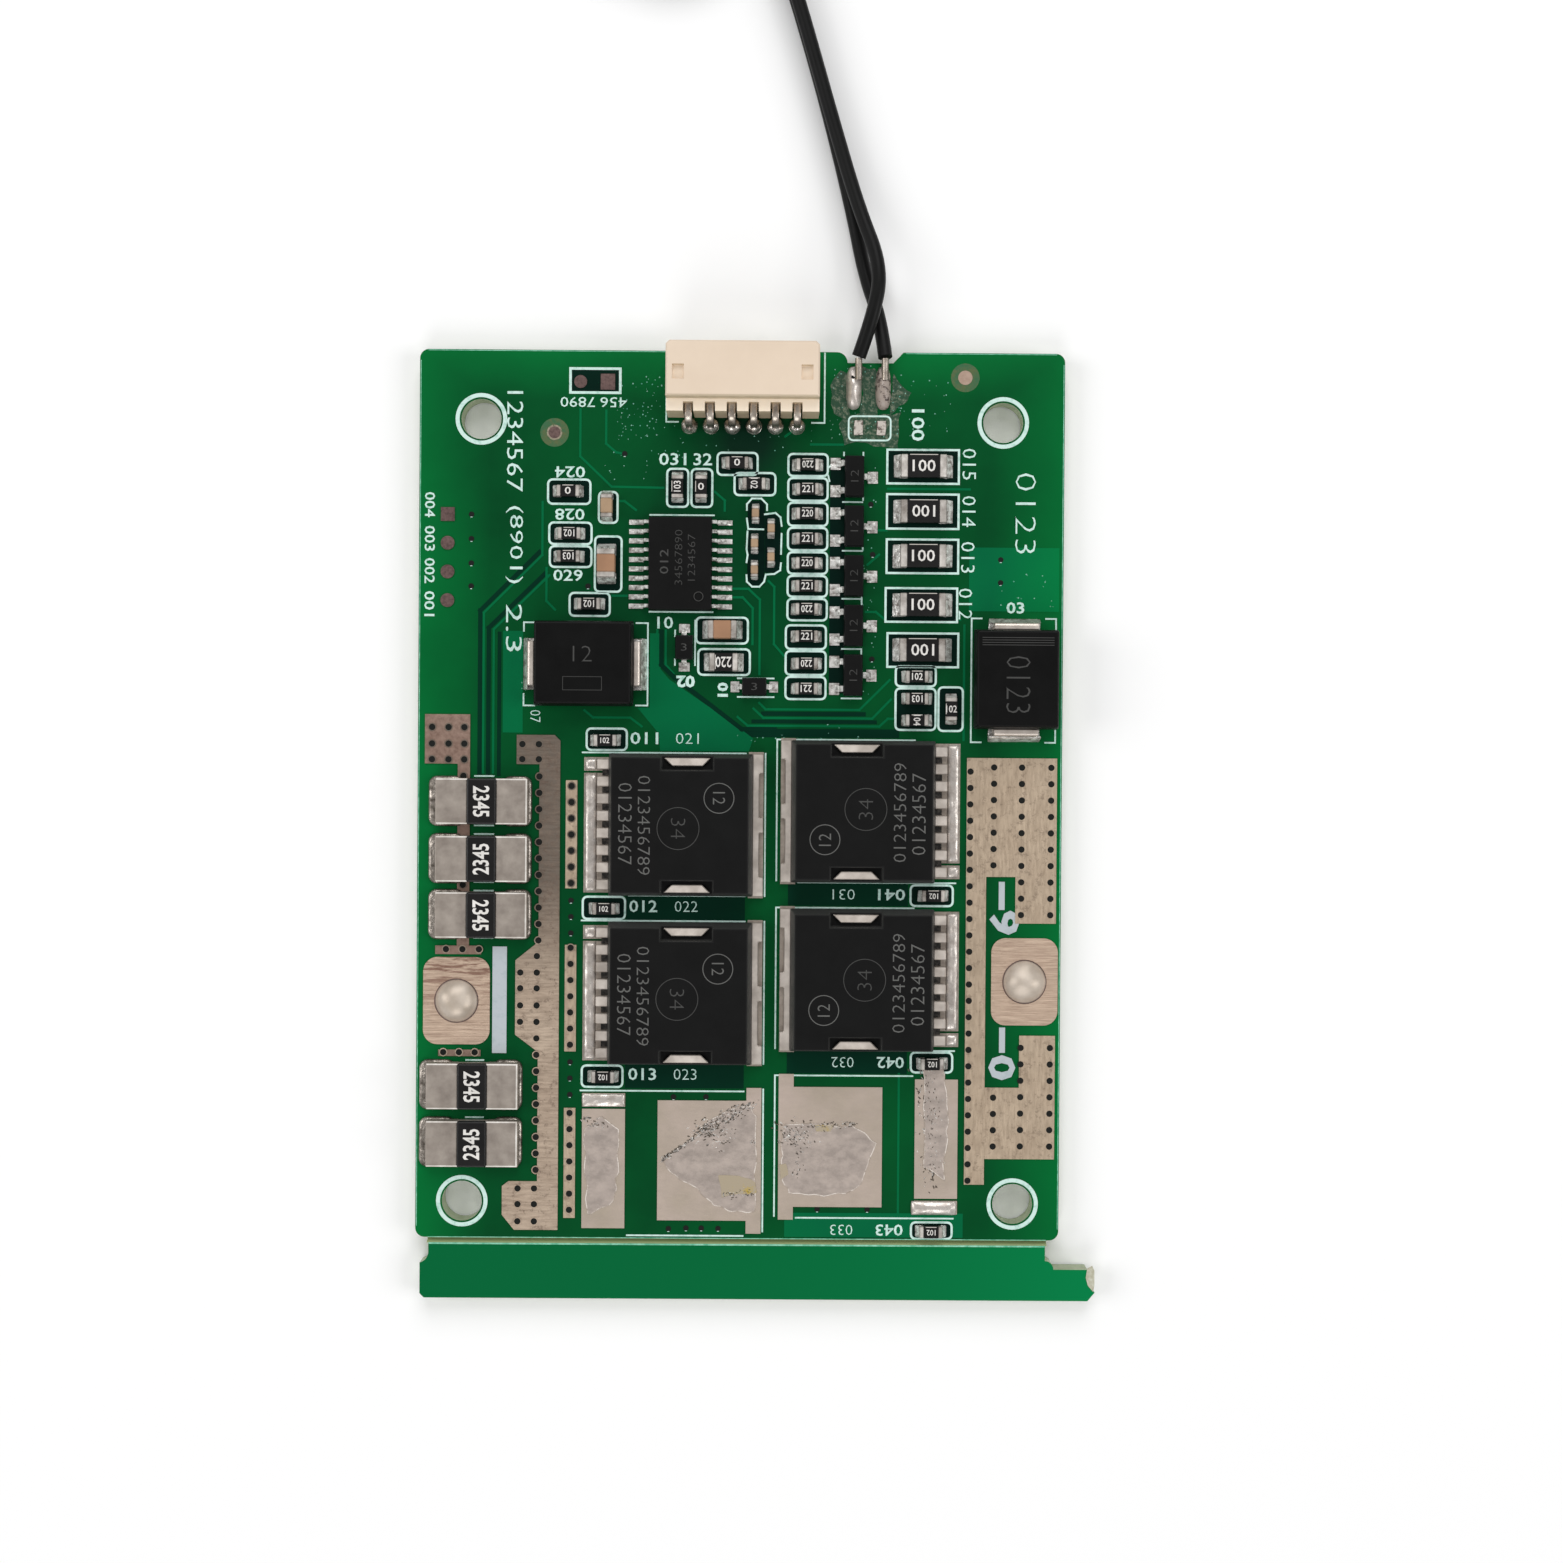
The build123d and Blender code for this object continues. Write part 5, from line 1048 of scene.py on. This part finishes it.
def chips():
    """Resistors with printed figures and pale sides, brown capacitors, plated caps, soldered ends."""
    marks = Sheet("resistor_figures", "white_figures", "black_coat", thickness=mark_skin)
    sides = Sheet("resistor_pale_edges", "chip_side_white", "black_coat", thickness=0.006)
    logic = "0", "102", "103", "0", "0", "102", "103", "102", "102", "103", "102", "104"
    for family, words, turns, height, length in (
        ("balance", ["100"] * 5, (0, 180, 0, 0, 180), 0.82, 1.6),
        ("input", ["220", "221"] * 5, (180, 0, 0, 0, 0, 0, 180, 0, 180, 180), 0.5, 0.78),
        ("gate", ["102"] * 6, (0, 180, 0, 180, 180, 180), 0.4, 0.62),
        ("logic", logic, (0, -90, 90, 0, 180, 180, 180, 180, 0, 180, 0, -90), 0.5, 0.75),
        ("supply", ["220"], (180,), 0.75, 1.1),
    ):
        for (low, mid, high), word, turn in zip(solids_in(f"{family}_resistor_bodies"), words, turns):
            marks.z = sides.z = high.z
            marks.figures(word, mid.x, mid.y, height, length if len(word) > 1 else 0.42, turn, 0.01)
            if high.y - low.y > high.x - low.x:
                sides.stroke((low.x + 0.03, low.y + 0.15), (low.x + 0.03, high.y - 0.15), 0.05)
            else:
                sides.stroke((low.x + 0.15, high.y - 0.03), (high.x - 0.15, high.y - 0.03), 0.05)
    marks.done()
    sides.done()
    for family, tone in (("supply", "brown_ceramic"), ("signal", "tan_ceramic")):
        cover(f"{family}_capacitor_ceramic", f"{family}_capacitor_bodies", tone, 0.05, 1)
    for name in (
        "balance_resistor", "input_resistor", "gate_resistor", "logic_resistor", "supply_resistor",
        "supply_capacitor", "signal_capacitor",
    ):
        cover(f"{name}_plated_caps", f"{name}_caps", "cap_metal", 0.05, 1)
    ends = softened("chip_solder", 0.04, 1)
    ruffle(ends, 0.06, 0.3)
    piece("chip_soldered_ends", ends, "bright_solder", ["chip_solder"])


def small_packages():
    """Moulded bodies with softened edges, faint marks and bright leads."""
    for node, edge in (
        ("monitor_chip_body", 0.05), ("bypass_transistor_bodies", 0.06), ("clamp_diode_bodies", 0.06),
    ):
        cover(f"{node}_case", node, "black_resin", edge)
    for node in ("monitor_chip_leads", "bypass_transistor_leads", "clamp_diode_leads"):
        cover(f"{node}_formed", node, "formed_tin", 0.03, 1)
    marks = Sheet("package_marks", "faint_grey", "black_moulding", thickness=mark_skin)
    low, mid, high = mm_box("monitor_chip_body")
    marks.z = high.z
    marks.figures("012", mid.x - 1.1, mid.y + 0.1, 0.6, 1.7, 90)
    marks.figures("34567890", mid.x - 0.1, mid.y + 0.4, 0.52, 3.8, 90, -0.02)
    marks.figures("1234567", mid.x + 0.8, mid.y + 0.4, 0.52, 3.2, 90, -0.02)
    marks.ring(-2.95, 13.8, 0.29, 0.34, sides=24)
    for node, text, *size in (
        ("bypass_transistor_bodies", "12", 0.55, 0.8, 90, -0.02), ("clamp_diode_bodies", "3", 0.5, 0.4, 0, -0.01),
    ):
        for low, mid, high in solids_in(node):
            marks.z = high.z
            marks.figures(text, mid.x, mid.y, *size)
    marks.done()


def large_diodes():
    """Black bodies, folded leads and the soldered ends of the two large diodes."""
    for name in ("suppressor_diode", "power_diode"):
        cover(f"{name}_case", f"{name}_body", "diode_resin", 0.12)
        cover(f"{name}_folded_leads", f"{name}_leads", "lead_tin", 0.06, 1)
    ends = softened("diode_solder", 0.08)
    ruffle(ends, 0.08, 0.5, 3.0)
    piece("diode_soldered_ends", ends, "bright_solder", ["diode_solder"], smooth=True)
    marks = Sheet("diode_marks", "faint_grey", "black_moulding", thickness=mark_skin)
    low, mid, high = mm_box("power_diode_body")
    marks.z = high.z
    for step in range(4):
        y = high.y - 0.62 - 0.17 * step
        marks.stroke((low.x + 0.5, y), (high.x - 0.5, y), 0.045)
    marks.figures("0123", mid.x, mid.y - 0.4, 1.7, 3.9, -90, -0.022)
    low, mid, high = mm_box("suppressor_diode_body")
    marks.z = high.z
    marks.frame((mid.x - 1.35, mid.y - 1.9, mid.x + 1.35, mid.y - 0.95), 0.0, 0.035)
    marks.figures("12", mid.x, mid.y + 0.6, 1.1, 1.3, 0, -0.02)
    marks.done()


def terminal_domes():
    """Solder domes, slightly uneven, with a thin ring of painted shadow round the foot."""
    mesh = solid_of("terminal_solder")
    bmesh.ops.triangulate(mesh, faces=mesh.faces[:])
    bmesh.ops.subdivide_edges(mesh, edges=mesh.edges[:], cuts=1, use_grid_fill=True)
    ruffle(mesh, 0.1, 1.3, 1.5, above=land_z + 0.05)
    for _ in range(3):
        bmesh.ops.smooth_vert(mesh, verts=[v for v in mesh.verts if v.co.z > land_z + 0.05], factor=0.5,
                              use_axis_x=True, use_axis_y=True, use_axis_z=True)
    piece("terminal_domes", mesh, "dome_solder", ["terminal_solder"], smooth=True)
    # Painted shadow: a thin dark ring round the foot of each dome.
    foot_shadow = Sheet("terminal_foot_shadow", "oxidised_copper", "solder", land_z, 0.012)
    for low, mid, high in solids_in("terminal_solder"):
        foot_shadow.ring(mid.x, mid.y, (high.x - low.x) / 2 - 0.05, (high.x - low.x) / 2 + 0.05)
    foot_shadow.done()


def socket():
    """Cream housing with softened edges, formed pins and their solder."""
    cover("socket_shell", "socket_housing", "cream_nylon", 0.06)
    cover("socket_formed_pins", "socket_pins", "pin_metal", 0.09, smooth=True)
    blobs = bmesh.new()
    for index, (low, mid, high) in enumerate(solids_in("socket_solder")):
        part = bmesh.new()
        place = Matrix.Translation((mid.x, mid.y - 0.02, low.z)) @ Matrix.Diagonal((1.12, 1.12, 1.25, 1))
        bmesh.ops.create_uvsphere(part, u_segments=24, v_segments=14, radius=0.5, matrix=place)
        cut_below(part, low.z)
        ruffle(part, 0.1, 0.35, index * 2.0, above=low.z + 0.02)
        join(blobs, part)
    piece("socket_solder_blobs", blobs, "pin_solder", ["socket_solder"], smooth=True)


for draw in (
    copper_under_mask, score_lips, vias, sighting_marks, printed_frames, printed_lines, printed_figures,
    transistors, transistor_solder, open_land_residue, shunts, chips, small_packages, large_diodes,
    terminal_domes, socket,
):
    draw()


# Sensor leads

lead_width = 1.0
coil_centre = Vector((-5.1, board_high.y + 32.8, 0))
outer_turn = 6.0
inner_turn = 5.0
entry_degrees = 16
entry_length = 3.7
approach_length = 3.0
turn_step = 24
into_bead = (676, 4.72), (700, 4.32), (724, 4.03), (748, 3.98), (772, 3.96), (796, 3.9), (820, 3.85)


def on_ring(degrees, radius, z):
    angle = radians(degrees)
    return coil_centre + Vector((radius * cos(angle), radius * sin(angle), z))


def lead(name, points, level):
    """One lead: its route to the coil, then two turns inwards and an end in the bead."""
    heading = Vector((-sin(radians(entry_degrees)), cos(radians(entry_degrees)), 0))
    touch = on_ring(entry_degrees, outer_turn, level)
    route = [Vector((x, board_high.y + y, z)) for x, y, z in points]
    route += [touch - heading * (entry_length + approach_length), touch - heading * entry_length, touch]
    turns = [(degrees, outer_turn) for degrees in range(entry_degrees + turn_step, 340, turn_step)]
    turns += [(352, 5.3)] + [(degrees, inner_turn) for degrees in range(376, 664, turn_step)]
    route += [on_ring(degrees, radius, level) for degrees, radius in (*turns, *into_bead)]
    route += [coil_centre + Vector((-2.5, y, level)) for y in (3.1, 2.45)]
    curve = bpy.data.curves.new(name, "CURVE")
    curve.dimensions = "3D"
    curve.bevel_depth = lead_width / 2 * MM
    curve.bevel_resolution = 5
    curve.use_fill_caps = True
    curve.resolution_u = 8
    spline = curve.splines.new("NURBS")
    spline.points.add(len(route) - 1)
    for point, place in zip(spline.points, route):
        point.co = (*(place * MM), 1.0)
    spline.order_u = 3
    spline.use_endpoint_u = True
    return riding(name, curve, "black_insulation"), route


left_lead, left_route = lead("left_sensor_lead", (
    (8.05, -0.45, 2.25), (9.0, 2.2, 2.85), (9.6, 5.6, 2.85), (7.9, 10.2, 1.75), (5.9, 17.0, 1.52),
    (3.9, 23.9, 1.56),
), 1.7)
right_lead, right_route = lead("right_sensor_lead", (
    (9.9, -0.45, 2.15), (9.6, 2.2, 1.6), (8.5, 5.6, 0.62), (7.6, 10.2, 0.5), (5.9, 17.0, 0.5),
    (3.9, 23.9, 0.52),
), 0.7)
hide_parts("sensor_lead_left", "sensor_coil")
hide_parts("sensor_lead_right")


def lead_joints():
    """Rounded solder over the bared strands, one smooth with a pit of painted shade and one speckled."""
    boxes = sorted(solids_in("sensor_lead_solder"), key=lambda box: box[0].x)
    for index, (name, tone, replaced) in enumerate((
        ("left_lead_joint", "dull_solder", ["sensor_lead_solder"]), ("right_lead_joint", "pitted_solder", []),
    )):
        mid = boxes[index][1]
        part = bmesh.new()
        bmesh.ops.create_uvsphere(part, u_segments=32, v_segments=20, radius=1.0)
        for vert in part.verts:
            x, y, _ = vert.co
            squared = 1.0 / max(abs(x) ** 3 + abs(y) ** 3, 1e-9) ** (1 / 3) if abs(x) + abs(y) > 1e-6 else 1.0
            flat = (x * x + y * y) ** 0.5
            vert.co.x = x * squared * flat
            vert.co.y = y * squared * flat
        place = Matrix.Translation((mid.x, mid.y, mask_z)) @ Matrix.Diagonal((0.53, 1.5, 0.74, 1))
        bmesh.ops.transform(part, matrix=place, verts=part.verts)
        cut_below(part, mask_z)
        ruffle(part, 0.09, 0.6, 5.0 + index, above=mask_z + 0.02)
        piece(name, part, tone, replaced, smooth=True)
    # Painted shade: two dark discs for the pit in the smooth joint.
    pit = Sheet("joint_pit", "hole_dark", "solder", mask_z + 0.68, 0.06)
    pit.disc(7.62, 29.15, 0.09)
    pit.disc(7.72, 29.1, 0.07)
    pit.done()


def residue():
    """Dull flux round the soldered leads, and pale specks scattered the same way each time."""
    rng = random.Random(7)
    stains = Sheet("flux_stains", "flux_residue")
    for corners in (
        ((6.3, 26.8), (7.3, 26.2), (7.4, 29.4), (6.9, 29.6), (6.2, 28.6)),
        ((8.25, 26.4), (9.3, 26.4), (9.35, 30.0), (8.3, 30.1)),
        ((10.35, 26.7), (11.3, 27.3), (11.7, 28.3), (11.0, 28.9), (10.3, 29.6)),
        ((6.9, 24.6), (10.9, 24.5), (11.2, 26.6), (8.8, 26.9), (6.7, 26.5)),
    ):
        stains.thickness = 0.014 + 0.002 * len(stains.mesh.verts) / 100
        stains.wavering(corners, 0.35)
    specks = Sheet("pale_specks", "pale_specks", thickness=copper_skin * 1.1)
    for middle_x, middle_y, reach_x, reach_y, count in (
        (-7.2, 27.0, 1.6, 2.2, 70), (-7.0, 24.0, 3.0, 2.0, 30), (9.0, 27.5, 3.0, 2.6, 60),
        (1.0, 24.8, 4.0, 0.8, 14), (12.5, 27.0, 2.0, 2.5, 22), (8.8, 15.0, 0.6, 8.0, 36),
        (4.0, 4.4, 4.5, 0.6, 20), (20.0, 14.5, 2.0, 1.2, 16), (-14.6, 9.0, 0.8, 2.0, 14),
    ):
        for _ in range(count):
            x = middle_x + rng.uniform(-1, 1) * reach_x
            y = middle_y + rng.uniform(-1, 1) * reach_y
            specks.disc(x, y, rng.uniform(0.02, 0.055), sides=5)
    stains.done()
    specks.done()


def empty_chip_lands():
    """Ragged solder on the two lands where no chip was fitted."""
    ragged = Sheet("empty_chip_solder", "ragged_solder", "solder", land_z, 0.06)
    for x in (8.1, 9.68):
        ragged.wavering(rectangle(x - 0.32, 25.25, x + 0.32, 26.2), 0.12)
    ragged.done()


lead_joints()
residue()
empty_chip_lands()


# Floor, light and camera. The corners of the board in the photograph place the camera.

floor_size = 1.2
floor_drop = 0.0001
world_strength = 0.28
camera_place = (2.24, 2.04, 141.6)
camera_tilt = (-0.422, -0.266, 0.405)
camera_lens = 46.15


def floor():
    mesh = bmesh.new()
    bmesh.ops.create_grid(mesh, x_segments=1, y_segments=1, size=floor_size)
    data = bpy.data.meshes.new("floor")
    mesh.to_mesh(data)
    mesh.free()
    white = bpy.data.materials.new("floor_white")
    white.use_nodes = True
    shader = white.node_tree.nodes["Principled BSDF"]
    shader.inputs["Base Color"].default_value = (0.95, 0.95, 0.95, 1)
    shader.inputs["Roughness"].default_value = 0.9
    shader.inputs["Specular IOR Level"].default_value = 0.0
    data.materials.append(white)
    made = placed("floor", data)
    made.location.z = -floor_drop


def softbox(name, place, size, power):
    """A square soft light aimed at the board."""
    data = bpy.data.lights.new(name, "AREA")
    data.shape = "SQUARE"
    data.size = size
    data.energy = power
    light = placed(name, data)
    light.location = place
    light.rotation_euler = (-Vector(place)).to_track_quat("-Z", "Y").to_euler()


def lighting():
    bpy.context.scene.view_settings.view_transform = "Standard"
    world = bpy.data.worlds.new("studio")
    bpy.context.scene.world = world
    world.use_nodes = True
    colour, strength = world.node_tree.nodes["Background"].inputs[:2]
    colour.default_value = (1, 1, 1, 1)
    strength.default_value = world_strength
    softbox("top_light", (0.02, 0.34, 0.34), 0.3, 0.98)
    softbox("left_light", (-0.36, 0.02, 0.3), 0.25, 0.66)
    softbox("right_light", (0.36, -0.04, 0.3), 0.25, 0.66)
    softbox("near_light", (-0.04, -0.36, 0.32), 0.25, 0.62)


def camera():
    data = bpy.data.cameras.new("camera")
    data.lens = camera_lens
    data.sensor_width = 36.0
    data.clip_start = 0.01
    data.clip_end = 10.0
    view = placed("camera", data)
    view.location = Vector(camera_place) * MM
    view.rotation_euler = [radians(angle) for angle in camera_tilt]
    bpy.context.scene.camera = view


floor()
lighting()
camera()
